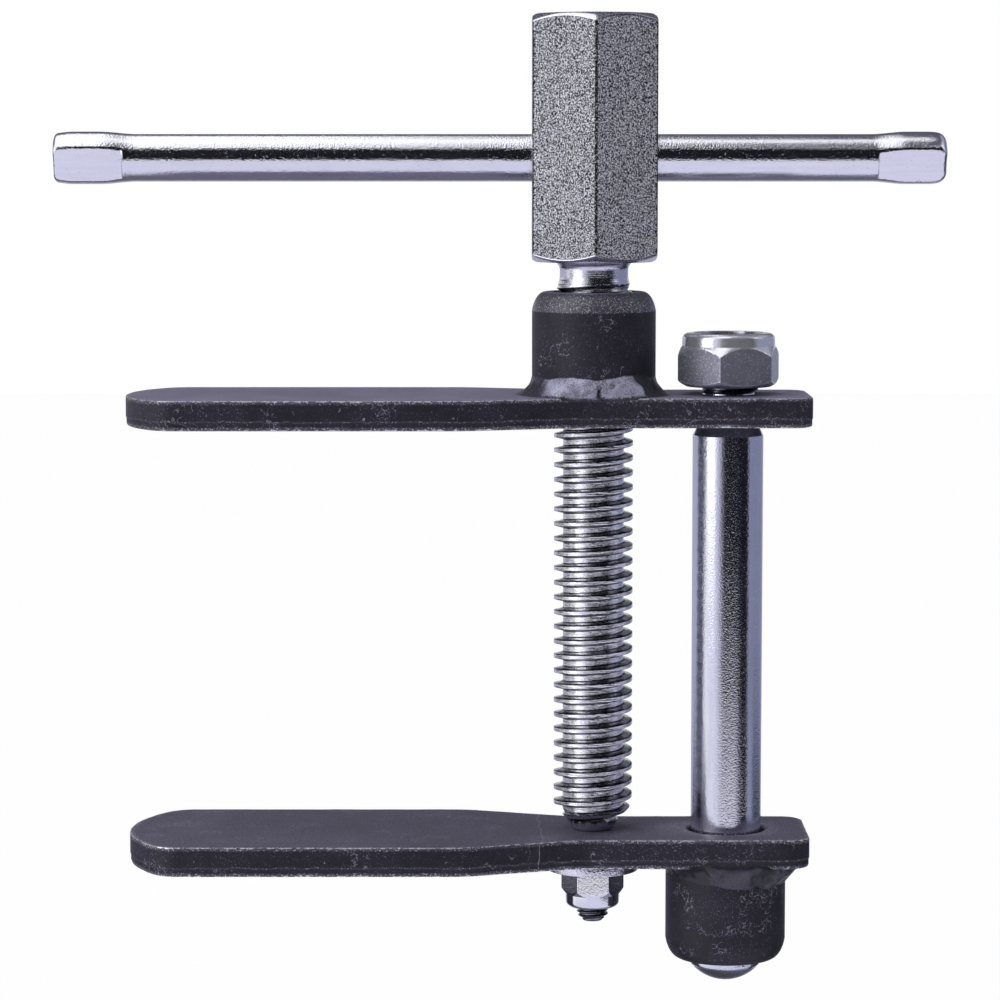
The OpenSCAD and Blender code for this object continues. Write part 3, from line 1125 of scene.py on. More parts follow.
@dataclass
class Post:
    """A turned post welded to an arm, with one rounded end and a bore."""

    node: str
    side: Side
    bore_r: float
    rounding: float
    shoulder: float = 2.7
    break_deg: float = 16.0
    break_run: float = 0.3
    bore_chamfer: float = 0.5
    bore_round: float = 0.2
    bore_mark: float = 0.4
    lip_round: float = 0.25
    lip_mark: float = 0.6
    thin: float = 0.0
    crown_dress: int = 0

    def __post_init__(self) -> None:
        """Takes the post's place from its CAD node."""
        box = Box.of(self.node)
        self.x = box.middle[0]
        self.radius = box.size[0] / 2
        above = self.side is Side.ABOVE
        self.foot, self.end = (box.low[2], box.high[2]) if above else (box.high[2], box.low[2])

    def mesh(self) -> bpy.types.Mesh:
        """Builds the post.

        Returns:
            The post's mesh.
        """
        up = self.side.value
        bend = rounded_end(
            self.radius, self.end, up, self.shoulder, self.rounding, self.break_deg, self.thin
        )
        body = rounded([
            bend[-1],
            Corner(self.bore_r + self.bore_chamfer, self.end, self.lip_round, self.lip_mark),
            Corner(self.bore_r, self.end - up * self.bore_chamfer, self.bore_round, self.bore_mark),
            Corner(self.bore_r, self.foot),
            Corner(self.radius, self.foot),
            Corner(self.radius, (self.foot + self.end) / 2),
            Corner(self.radius, bend[0].z - up * self.break_run),
            bend[0],
        ])
        draft = Draft().turned(body, self.x).turned(rounded(bend), self.x, dress=self.crown_dress)
        return draft.mesh(self.node)


@dataclass(frozen=True)
class Lobe:
    """A swollen stretch of a bead: where it starts and ends, and how softly, as bearings in degrees."""

    start: float
    end: float
    start_soft: float = 3.0
    end_soft: float = 3.0

    def share(self, bearing: np.ndarray) -> np.ndarray:
        """Returns 1 inside the lobe and 0 outside."""
        rising = step(self.start - self.start_soft, self.start + self.start_soft, bearing)
        return rising * (1 - step(self.end - self.end_soft, self.end + self.end_soft, bearing))


@dataclass
class Bead:
    """A hand-laid weld bead round a post, which laps over the arm's edge where it runs out of plate."""

    post: Post
    plate: Plate
    heights: Sequence[tuple[float, float]]
    lobes: Sequence[Lobe]
    leg: float = 3.3
    leg_play: float = 0.16
    leg_wave: float = 3.5
    height_play: float = 0.07
    height_wave: float = 2.2
    bulge: float = 0.55
    bulge_lean: float = 0.8
    hollow: float = 0.55
    lump: float = 0.28
    lump_wave: float = 1.6
    lap: float = 0.75
    lap_wave: float = 2.0
    lap_run: float = 2.0
    lap_curl: int = 4
    overhang: float = 0.12
    sink: float = 0.35
    under_in: float = 0.4
    under_depth: float = 1.2
    skew_deg: float = 7.0
    ragged_deg: float = 5.0
    ragged_wave: float = 1.3
    fade: float = 0.5
    fade_wave: float = 2.6
    lit_from: float = 0.14
    lit_to: float = 0.93
    joined_from: float = 1.0
    join_soft: float = 0.2
    columns: int = 300
    rows: int = 16
    seed: float = 5.0

    def mesh(self, name: str) -> bpy.types.Mesh:
        """Builds the bead as a closed ring.

        Args:
            name: The mesh's name.

        Returns:
            The bead's mesh.
        """
        up = self.post.side.value
        face = self.plate.high if up > 0 else self.plate.low
        angles = np.arange(self.columns) * 2 * math.pi / self.columns
        bearing = (np.degrees(angles) + 90 + 180) % 360 - 180
        ring = np.stack([np.cos(angles), np.sin(angles), np.zeros_like(angles)], axis=1) * self.post.radius
        height = np.interp(bearing, *zip(*self.heights), period=360)
        height = height * (1 + self.height_play * ripple(ring, self.height_wave, self.seed))
        edge = self.plate.reach_from(self.post.x, angles)
        leg = self.leg * (1 + self.leg_play * ripple(ring, self.leg_wave, self.seed + 4))
        wanted = self.post.radius + leg
        toe = np.minimum(wanted, edge + self.overhang)
        drip = self.lap * (0.6 + 0.6 * np.abs(ripple(ring, self.lap_wave, self.seed + 8)))
        over = step(0.0, self.lap_run, wanted - edge) * drip
        t = np.linspace(0, 1, self.rows)[None, :]
        swell = self._swell(bearing, ring, t)
        power = 1.0 + self.hollow * (1 - swell)
        radius = self.post.radius + (toe - self.post.radius)[:, None] * (1 - t) ** power
        level = height[:, None] * t ** power - over[:, None] * (1 - t) ** self.lap_curl
        radius = radius + self.bulge * swell * np.sin(math.pi * t ** self.bulge_lean)
        skin = self._points(angles, radius, face + up * level)
        lumps = self.lump * ripple(skin, self.lump_wave, self.seed + 11) * np.sin(math.pi * t) ** 0.5
        skin = self._points(angles, radius + lumps, face + up * level)
        inner = np.full((self.columns, 1), self.post.radius - self.sink)
        outer = np.minimum(toe - self.sink, edge - self.under_in)[:, None]
        top = self._points(angles, inner, face + up * (height[:, None] - self.sink))
        foot = self._points(angles, inner, np.full_like(inner, face - up * self.sink))
        under = self._points(angles, outer, np.full_like(inner, face - up * self.under_depth))
        grid = np.concatenate([skin, top, foot, under], axis=1)
        # Painted highlight: the swells' band between the toe and the post gets the mark that WeldPaint
        # lightens.
        lit = step(0.0, self.lit_from, t) * (1 - step(self.lit_to, 1.0, t))
        lit = lit * (1 + self.fade * ripple(skin, self.fade_wave, self.seed + 21))
        crest = np.concatenate([swell * lit, np.zeros((self.columns, 3))], axis=1)
        return Draft().add(grid, crest, loop=True).mesh(name)

    def _swell(self, bearing: np.ndarray, ring: np.ndarray, t: np.ndarray) -> np.ndarray:
        """Returns how far the bead swells, by column and row, in lobes that lean and have ragged ends.

        Args:
            bearing: Each column's bearing in degrees.
            ring: Each column's point on the post.
            t: Each row's share of the way from the toe to the post.

        Returns:
            1 in the lobes and 0 between them.
        """
        spread = np.stack(np.broadcast_arrays(ring[:, :1], ring[:, 1:2], t * self.leg), axis=-1)
        ragged = self.ragged_deg * ripple(spread, self.ragged_wave, self.seed + 15)
        at = bearing[:, None] + self.skew_deg * (t - 0.5) + ragged
        first, last = self.lobes[0], self.lobes[-1]
        whole = Lobe(first.start, last.end, first.start_soft, last.end_soft).share(at)
        bridge = whole * step(self.joined_from, self.joined_from + self.join_soft, t)
        return np.maximum(sum(lobe.share(at) for lobe in self.lobes), bridge)

    def _points(self, angles: np.ndarray, radius: np.ndarray, level: np.ndarray) -> np.ndarray:
        """Returns points at angles, radii and levels round the post.

        Args:
            angles: Each column's angle in radians.
            radius: Radii by column and row.
            level: Heights by column and row.

        Returns:
            The points by column and row.
        """
        x = self.post.x + radius * np.cos(angles)[:, None]
        y = radius * np.sin(angles)[:, None]
        return np.stack([x, y, np.broadcast_to(level, x.shape)], axis=-1)


@dataclass
class Thread:
    """A right-hand thread that is cut back by a cone at its lower end and runs out into a neck above."""

    crest_r: float
    root_r: float
    pitch: float
    crest_w: float
    flank_deg: float
    low: float
    high: float
    cone_r: float
    cone_slope: float
    neck_r: float
    run_out: float
    rim_share: float = 0.12
    heel_share: float = 0.22
    root_mark: float = 0.55
    flank_mark: float = 0.8
    phase: int = 0
    groove_share: float = 0.5
    groove_fade: float = 0.3
    bend_steps: int = 2
    columns: int = COLUMNS

    def grid(self) -> tuple[np.ndarray, np.ndarray]:
        """Returns the thread's points by column and row, and their marks, which set painted shade on its
        flanks.

        Returns:
            The points, with a column for each step of the helix, and a mark for each row.
        """
        flank = (self.crest_r - self.root_r) * math.tan(math.radians(self.flank_deg))
        crest, base, middle = self.crest_w / 2, self.crest_w / 2 + flank, self.pitch / 2
        rim, heel, unshaded = self.crest_w * self.rim_share, self.crest_w * self.heel_share, self.root_mark
        # Flanks, crest edges and root corners are left at 0, which CutThread darkens with painted shade;
        # crests and roots are marked clear of it.
        form = rounded([
            Corner(self.root_r, 0.0, 0.0, unshaded),
            Corner(self.root_r, middle - base - heel, 0.0, unshaded),
            Corner(self.root_r, middle - base, heel),
            Corner(self.crest_r, middle - crest, rim),
            Corner(self.crest_r, middle - crest + rim, 0.0, 1.0),
            Corner(self.crest_r, middle, 0.0, 1.0),
            Corner(self.crest_r, middle + crest - rim * 2, 0.0, 1.0),
            Corner(self.crest_r, middle + crest, rim),
            Corner((self.crest_r + self.root_r) / 2, middle + (crest + base) / 2, 0.0, self.flank_mark),
            Corner(self.root_r, middle + base, heel),
            Corner(self.root_r, middle + base + heel, 0.0, unshaded),
            Corner(self.root_r, self.pitch, 0.0, unshaded),
        ], steps=self.bend_steps)
        turns = math.ceil((self.high - self.low) / self.pitch) + 1
        count = np.arange(turns * self.columns + 1)
        rise = (count / self.columns - 1.0) * self.pitch
        level = np.clip(self.low + rise[:, None] + form[None, :, 1], self.low, self.high)
        groove = (self.crest_r - form[None, :, 0]) * self.groove_share
        cone = self.cone_r + (level - self.low) * self.cone_slope
        groove = groove * step(self.low, self.low + self.groove_fade, level)
        radius = np.minimum(form[None, :, 0], cone - groove)
        fade = step(self.high - self.run_out, self.high, level)
        radius = radius + (self.neck_r - radius) * fade
        angle = ((count + self.phase) * 2 * math.pi / self.columns)[:, None]
        points = np.stack([radius * np.cos(angle), radius * np.sin(angle), level], axis=-1)
        return points, form[None, :, 2]


@dataclass
class HexPrism:
    """A hexagon along Z, turned to a chamfer at both ends, with two of its flats facing along X."""

    across: float
    low: float
    high: float
    low_inset: float
    high_inset: float
    corner_round: float = 0.4
    corner_mark: float = 0.0
    corner_steps: int = 6
    flat_steps: int = 14
    flat_margin: float = 0.01
    low_deg: float = 30.0
    high_deg: float = 30.0
    edge_soft: float = 0.14
    edge_lift: float = 0.6
    edge_fade: float = 3.0
    chamfer_mark: float = 0.5

    def ring(self) -> np.ndarray:
        """Returns rows of x, y and corner mark round the hexagon.

        Returns:
            The rows, with rounded corners and steps along the flats.
        """
        corner_r = self.across / math.sqrt(3)
        spokes = [math.radians(30 + 60 * k) for k in range(6)]
        corners = [
            Corner(corner_r * math.cos(a), corner_r * math.sin(a), self.corner_round, self.corner_mark)
            for a in spokes
        ]
        bent = rounded(corners, closed=True, steps=self.corner_steps)
        inner = np.arange(1, self.flat_steps) / self.flat_steps
        rows: list[np.ndarray] = []
        for here, after in zip(bent, np.roll(bent, -1, axis=0)):
            rows.append(here)
            if math.dist(here[:2], after[:2]) > self.corner_round:
                for t in [self.flat_margin, *inner, 1.0 - self.flat_margin]:
                    rows.append((here + (after - here) * t) * (1, 1, 0))
        return np.array(rows)

    def chamfered(self, radii: np.ndarray) -> tuple[np.ndarray, np.ndarray]:
        """Returns the heights at which the flats start and end, for radii round the hexagon.

        Args:
            radii: The radii.

        Returns:
            The lower and the upper heights.
        """
        low_slope, high_slope = (math.tan(math.radians(a)) for a in (self.low_deg, self.high_deg))
        low = self.low + np.maximum(radii - (self.across / 2 - self.low_inset), 0) * low_slope
        high = self.high - np.maximum(radii - (self.across / 2 - self.high_inset), 0) * high_slope
        return low, high

    def skin(
        self, low_cap: Sequence[Corner], high_cap: Sequence[Corner], middle: int = 6
    ) -> tuple[np.ndarray, np.ndarray]:
        """Builds the hexagon's skin between two turned caps.

        Args:
            low_cap: The section below the flats, from its inner end outwards.
            high_cap: The section above the flats, from its outer end inwards.
            middle: Rows along the flats.

        Returns:
            Points by column and row, and their marks for wear and painted shade.
        """
        ring = self.ring()
        radii = np.linalg.norm(ring[:, :2], axis=1)
        way = ring[:, :2] / radii[:, None]
        low, high = self.chamfered(radii)
        soft, ones = self.edge_soft, np.ones(len(ring))
        low_r, high_r = (
            np.maximum(radii - soft, np.minimum(radii, self.across / 2 - inset))
            for inset in (self.low_inset, self.high_inset)
        )
        lift, fade = soft * self.edge_lift, soft * self.edge_fade
        flats = [
            (low + lift, ones),
            (low + fade, ring[:, 2]),
            *((low + (high - low) * k / middle, ring[:, 2]) for k in range(1, middle)),
            (high - fade, ring[:, 2]),
            (high - lift, ones),
        ]
        rows = [
            *((c.x * ones, c.z * ones, c.wear_and_light * ones) for c in low_cap),
            (low_r, self.chamfered(low_r)[0], self.chamfer_mark * ones),
            *((radii, level, mark) for level, mark in flats),
            (high_r, self.chamfered(high_r)[1], self.chamfer_mark * ones),
            *((c.x * ones, c.z * ones, c.wear_and_light * ones) for c in high_cap),
        ]
        points = np.stack(
            [np.stack([way[:, 0] * r, way[:, 1] * r, z], axis=1) for r, z, _ in rows], axis=1
        )
        return points, np.stack([mark for _, _, mark in rows], axis=1)


@dataclass
class LockNut:
    """A lock nut with a chamfered hexagon, a rounded collar crimped over its ring, and a bore."""

    node: str
    ring_node: str
    across: float
    bore_r: float
    collar_h: float
    side: Side
    turn_deg: float
    crown_in: float
    crown_h: float
    finish: RolledNut
    collar_share: float = 0.98
    seat_share: float = 0.045
    flare_share: float = 0.005
    collar_deg: float = 50.0
    corner_share: float = 0.02
    lip: float = 0.9
    lip_round: float = 0.1
    ring_gap: float = 0.05
    ring_rounds: tuple[float, float] = (0.2, 0.25)
    polish: float = 0.9

    def __post_init__(self) -> None:
        """Takes the nut's place from its CAD node."""
        box = Box.of(self.node)
        self.x = box.middle[0]
        above = self.side is Side.ABOVE
        self.seat, self.top = (box.low[2], box.high[2]) if above else (box.high[2], box.low[2])

    def settle(self, mesh: bpy.types.Mesh) -> bpy.types.Mesh:
        """Moves a mesh drawn upright on z = 0 to the nut's place.

        Args:
            mesh: The mesh.

        Returns:
            The same mesh.
        """
        tip = Matrix.Rotation(0 if self.side is Side.ABOVE else math.pi, 4, "X")
        turn = Matrix.Rotation(math.radians(self.turn_deg), 4, "Z")
        mesh.transform(Matrix.Translation(Vector((self.x, 0, self.seat)) * MM) @ tip @ turn)
        return mesh

    def mesh(self) -> bpy.types.Mesh:
        """Builds the nut.

        Returns:
            The nut's mesh, in its place.
        """
        height = abs(self.top - self.seat)
        hex_h = height - self.collar_h
        seat_inset, flare_inset = self.across * self.seat_share, self.across * self.flare_share
        prism = HexPrism(
            self.across, 0.0, hex_h, seat_inset, flare_inset, self.across * self.corner_share,
            high_deg=self.collar_deg, chamfer_mark=self.polish,
        )
        ring = Box.of(self.ring_node).size
        groove_r, groove_h = ring[0] / 2 + self.ring_gap, hex_h + ring[2] + self.ring_gap
        lip_r, floor_h = self.bore_r + self.lip, hex_h - self.ring_gap
        collar_r = self.across * self.collar_share / 2
        bend = rounded_end(collar_r, height, Side.ABOVE.value, self.crown_in, self.crown_h)
        collar = rounded([
            Corner(self.across / 2 - flare_inset, hex_h, 0.0, self.polish),
            *(Corner(corner.x, corner.z, 0.0, self.polish) for corner in bend),
            Corner(lip_r, height - self.ring_gap, self.lip_round, self.polish),
            Corner(lip_r, groove_h),
            Corner(groove_r, groove_h),
            Corner(groove_r, floor_h),
            Corner(self.bore_r, floor_h),
            Corner(self.bore_r, 0.0),
        ])
        seat_r = self.across / 2 - seat_inset
        low_cap = [
            Corner(self.bore_r, 0.0),
            Corner(seat_r - self.ring_gap, 0.0),
            Corner(seat_r, self.ring_gap / 2),
        ]
        points, marks = prism.skin(low_cap, [Corner(r, z, 0.0, mark) for r, z, mark in collar])
        return self.settle(Draft().add(points, marks, loop=True).mesh(self.node))

    def ring_mesh(self) -> bpy.types.Mesh:
        """Builds the locking ring inside the collar.

        Returns:
            The ring's mesh, in its place.
        """
        box = Box.of(self.ring_node)
        low = abs(self.top - self.seat) - self.collar_h
        outer, high = box.size[0] / 2, low + box.size[2]
        outer_round, inner_round = self.ring_rounds
        section = rounded([
            Corner(self.bore_r, low),
            Corner(outer, low),
            Corner(outer, high, outer_round),
            Corner(self.bore_r, high, inner_round),
        ], closed=True)
        return self.settle(Draft().turned(section, loop=True).mesh(self.ring_node))

    def build(self, body: Body) -> None:
        """Sets the nut and its ring in place."""
        set_piece(self.mesh(), [self.finish], body, Slot.DULL_ZINC, self.node)
        set_piece(self.ring_mesh(), [RING_PLASTIC], body, Slot.LOCKING_RING, self.ring_node)


@dataclass
class LowerArm:
    """The fixed arm with its guide sleeve and the bead that holds it."""

    tail_hole_r: float = 3.43
    spot_r: float = 10.0
    spot_depth: float = 0.2
    spot_round: float = 0.1
    rod_hole_r: float = 7.9
    hole_bevel: float = 0.3
    hole_round: float = 0.2
    sleeve_bore_r: float = 7.3
    sleeve_round: float = 4.0
    heights: tuple[tuple[float, float], ...] = (
        (-180, 3.3), (-75, 2.7), (-45, 3.0), (-15, 3.9), (10, 4.4), (45, 4.8), (75, 4.2),
    )
    lobes: tuple[Lobe, ...] = (Lobe(-18, 22, 8, 8), Lobe(40, 78, 6, 6))

    def build(self) -> None:
        """Builds the arm, the sleeve and the bead."""
        sleeve = Post("guide_sleeve", Side.BELOW, self.sleeve_bore_r, self.sleeve_round)
        plate = Plate.from_node("lower_arm", seed=3.0)
        low, high = plate.low, plate.high
        spot = low + self.spot_depth
        plate.holes = [
            Hole(0.0, [
                Corner(self.spot_r, low),
                Corner(self.spot_r, spot, self.spot_round),
                Corner(self.tail_hole_r, spot, self.spot_round),
                Corner(self.tail_hole_r, high),
            ]),
            Hole(sleeve.x, [
                Corner(self.rod_hole_r, low),
                Corner(self.rod_hole_r, high - self.hole_bevel, self.hole_round, 0.5),
                Corner(self.rod_hole_r + self.hole_bevel, high, 0.0, 0.6),
            ]),
        ]
        bead = Bead(sleeve, plate, self.heights, self.lobes, seed=8.0)
        for mesh, finish, slot, node in (
            (plate.mesh("lower_arm"), SCORED_PAINT, Slot.BLACK_PAINT, "lower_arm"),
            (sleeve.mesh(), PAINT, Slot.BLACK_PAINT, "guide_sleeve"),
            (bead.mesh("sleeve_weld"), SLEEVE_BEAD, Slot.WELD_PAINT, "sleeve_weld"),
        ):
            set_piece(mesh, [finish], Body.LOWER_ARM, slot, node)


@dataclass
class Spindle:
    """The turned spindle: drive hexagon, neck, lead screw, foot and threaded tail, with washer and nut."""

    bar_hole_r: float = 4.95
    hole_bevel: float = 0.5
    hex_inset: float = 0.7
    hex_len: float = 49.5
    hex_rows: int = 10
    hex_corner: float = 0.45
    # Painted shade: a negative mark darkens the stipple along the hexagon's corners.
    hex_corner_shade: float = -0.8
    cap_ring: float = 0.35
    cap_mark: float = 0.7
    neck_len: float = 4.4
    neck_r: float = 7.2
    waist: float = 0.3
    neck_bend: float = 1.1
    neck_rounds: tuple[float, float] = (2.0, 1.6)
    neck_flare: float = 0.5
    screw_r: float = 8.0
    root_r: float = 6.15
    pitch: float = 3.0
    crest_w: float = 0.8
    flank_deg: float = 15.0
    run_out: float = 2.6
    phase: int = -20
    foot_r: float = 5.25
    seat_r: float = 4.2
    seat_h: float = 1.9
    seat_round: float = 0.15
    play: float = 0.12
    tail_r: float = 3.175
    tail_root_r: float = 2.62
    tail_pitch: float = 0.907
    tail_bevel: float = 1.25
    tail_slope: float = 1.0
    tail_mark: float = 0.5
    end_ring: float = 0.2
    tail_crest: float = 0.12
    tail_flank: float = 28.0
    washer_gap: float = 0.06
    washer_rounds: tuple[float, float] = (0.12, 0.55)
    thread_gap: float = 0.05
    nut_across: float = 11.1
    nut_collar: float = 2.9
    nut_turn: float = 30.0
    nut_crown: tuple[float, float] = (2.0, 1.25)
    nut_lip: float = 0.25

    def hexagon(self, low: float, high: float) -> bpy.types.Mesh:
        """Builds the drive hexagon with its cross hole.

        Args:
            low: Height of its lower end.
            high: Height of its upper end.

        Returns:
            The hexagon's mesh.
        """
        across = Box.of("spindle").size[0]
        prism = HexPrism(
            across, low, high, self.hex_inset, self.hex_inset, self.hex_corner, self.hex_corner_shade
        )
        cap_r = across / 2 - self.hex_inset
        inwards = [(cap_r, self.cap_mark), (cap_r - self.cap_ring, 0.0), (cap_r / 2, 0.0), (0.0, 0.0)]
        low_cap = [Corner(r, low, 0.0, mark) for r, mark in reversed(inwards)]
        high_cap = [Corner(r, high, 0.0, mark) for r, mark in inwards]
        points, marks = prism.skin(low_cap, high_cap, self.hex_rows)
        solid = Draft().add(points, marks).mesh("hexagon")
        bore, bevel, face = self.bar_hole_r, self.hole_bevel, across / 2
        half = [(0.0, across), (bore + bevel * 3, across), (bore + bevel, face), (bore, face - bevel)]
        section = rounded([
            *(Corner(r, -out) for r, out in half),
            *(Corner(r, out) for r, out in reversed(half)),
        ])
        cutter = Draft().turned(section).mesh("cross_hole")
        centre = Vector((0, 0, Box.of("tommy_bar").middle[2])) * MM
        cutter.transform(Matrix.Translation(centre) @ Matrix.Rotation(math.pi / 2, 4, "Y"))
        return cut(solid, cutter)

    def tail(self, low: float) -> bpy.types.Mesh:
        """Builds the threaded tail up to the middle of the washer.

        Args:
            low: Height of its end.

        Returns:
            The tail's mesh.
        """
        end_r = self.tail_r - self.tail_bevel
        thread = Thread(
            self.tail_r, self.tail_root_r, self.tail_pitch, self.tail_crest, self.tail_flank, low,
            self.tail_high(), end_r, self.tail_slope, self.tail_r, self.tail_pitch, bend_steps=1,
        )
        points, marks = thread.grid()
        end = np.array([[r, low, self.tail_mark] for r in (0.0, end_r - self.end_ring, end_r)])
        return Draft().add(points, marks, around=False).turned(end).mesh("tail")

    @staticmethod
    def tail_high() -> float:
        """Returns the height at which the tail's thread ends, in the middle of the washer."""
        return float(Box.of("thrust_washer").middle[2])

    def shaft(self, high: float) -> bpy.types.Mesh:
        """Builds the lead screw and its foot as one skin, up to the neck.

        Args:
            high: Height at which the neck starts.

        Returns:
            The screw's mesh.
        """
        seat = Box.of("lower_arm").high[2] + self.play
        low = seat + self.seat_h
        foot_slope = (self.screw_r - self.foot_r) / self.pitch
        screw = Thread(
            self.screw_r, self.root_r, self.pitch, self.crest_w, self.flank_deg, low, high,
            self.foot_r, foot_slope, self.neck_r, self.run_out, phase=self.phase,
        )
        # The foot's corners are left at 0, so its cone takes CutThread's painted shade; the seat is marked
        # clear of it.
        foot = rounded([
            Corner(self.tail_r, self.tail_high()),
            Corner(self.tail_r, seat),
            Corner(self.seat_r, seat, self.seat_round, 1.0),
            Corner(self.foot_r, low),
        ])
        points, marks = screw.grid()
        return Draft().add(points, marks, around=False).turned(foot).mesh("shaft")

    def neck(self, low: float, high: float) -> bpy.types.Mesh:
        """Builds the waisted neck between the lead screw and the hexagon.

        Args:
            low: Height at which the screw ends.
            high: Height at which the hexagon starts.

        Returns:
            The neck's mesh.
        """
        waist_r = self.neck_r - self.waist
        low_round, high_round = self.neck_rounds
        section = rounded([
            Corner(self.neck_r, low),
            Corner(waist_r, low + self.neck_bend, low_round),
            Corner(waist_r, high - self.neck_bend, high_round),
            Corner(self.neck_r + self.neck_flare, high),
            Corner(0.0, high + self.neck_flare),
        ])
        return Draft().turned(section).mesh("neck")

    def washer(self) -> bpy.types.Mesh:
        """Builds the punched thrust washer, rounded on its upper rim and burred below.

        Returns:
            The washer's mesh.
        """
        box = Box.of("thrust_washer")
        r, low, high = box.size[0] / 2, box.low[2], box.high[2]
        bore_r = self.tail_r + self.washer_gap
        low_round, high_round = self.washer_rounds
        section = rounded([
            Corner(bore_r, low),
            Corner(r, low, low_round, 1.0),
            Corner(r, high, high_round, 0.5),
            Corner(bore_r, high),
        ], closed=True)
        return Draft().turned(section, loop=True).mesh("thrust_washer")

    def build(self) -> None:
        """Builds the spindle, its washer and its nut."""
        box = Box.of("spindle")
        hex_low = box.high[2] - self.hex_len
        neck_low = hex_low - self.neck_len
        whole = joined(
            self.shaft(neck_low),
            self.neck(neck_low, hex_low),
            self.hexagon(hex_low, box.high[2]),
            self.tail(box.low[2]),
        )
        finishes = [SCREW_ZINC, NECK_ZINC, HEX_ZINC, SHADED_TAIL_ZINC]
        set_piece(whole, finishes, Body.SPINDLE, Slot.BRIGHT_ZINC, "spindle")
        set_piece(self.washer(), [WASHER_ZINC], Body.SPINDLE, Slot.DULL_ZINC, "thrust_washer")
        LockNut(
            "tail_nut", "tail_nut_insert", self.nut_across, self.tail_r + self.thread_gap, self.nut_collar,
            Side.BELOW, self.nut_turn, *self.nut_crown, TAIL_NUT_ZINC, lip=self.nut_lip,
        ).build(Body.SPINDLE)


def cut(solid: bpy.types.Mesh, cutter: bpy.types.Mesh) -> bpy.types.Mesh:
    """Returns a solid with a cutter's shape taken out of it.

    Args:
        solid: The mesh to cut.
        cutter: The shape to take out.

    Returns:
        The cut mesh.
    """
    block, tool = (bpy.data.objects.new(m.name, m) for m in (solid, cutter))
    for thing in (block, tool):
        bpy.context.scene.collection.objects.link(thing)
    trim = block.modifiers.new("cross_hole", "BOOLEAN")
    trim.object, trim.operation, trim.solver = tool, "DIFFERENCE", "EXACT"
    ready = block.evaluated_get(bpy.context.evaluated_depsgraph_get())
    result = bpy.data.meshes.new_from_object(ready)
    for thing in (block, tool):
        bpy.data.objects.remove(thing)
    result.set_sharp_from_angle(angle=math.radians(SHARP_DEG))
    return result


def joined(*meshes: bpy.types.Mesh) -> bpy.types.Mesh:
    """Returns meshes as one, each with the material place of its order.

    Args:
        meshes: The meshes, of which neighbours share their rims.

    Returns:
        The whole mesh.
    """
    work = bmesh.new()
    for place, mesh in enumerate(meshes):
        start = len(work.faces)
        work.from_mesh(mesh)
        work.faces.ensure_lookup_table()
        for face in work.faces[start:]:
            face.material_index = place
    bmesh.ops.remove_doubles(work, verts=work.verts, dist=MERGE * MM)
    whole = bpy.data.meshes.new(meshes[0].name)
    work.to_mesh(whole)
    work.free()
    whole.set_sharp_from_angle(angle=math.radians(SHARP_DEG))
    return whole


@dataclass(frozen=True)
class Swage:
    """How one end of the bar was pressed: its flats' tilt, where it starts to swell, and its rounding."""

    tilt_deg: float
    run: float
    rise: float
    end_round: float


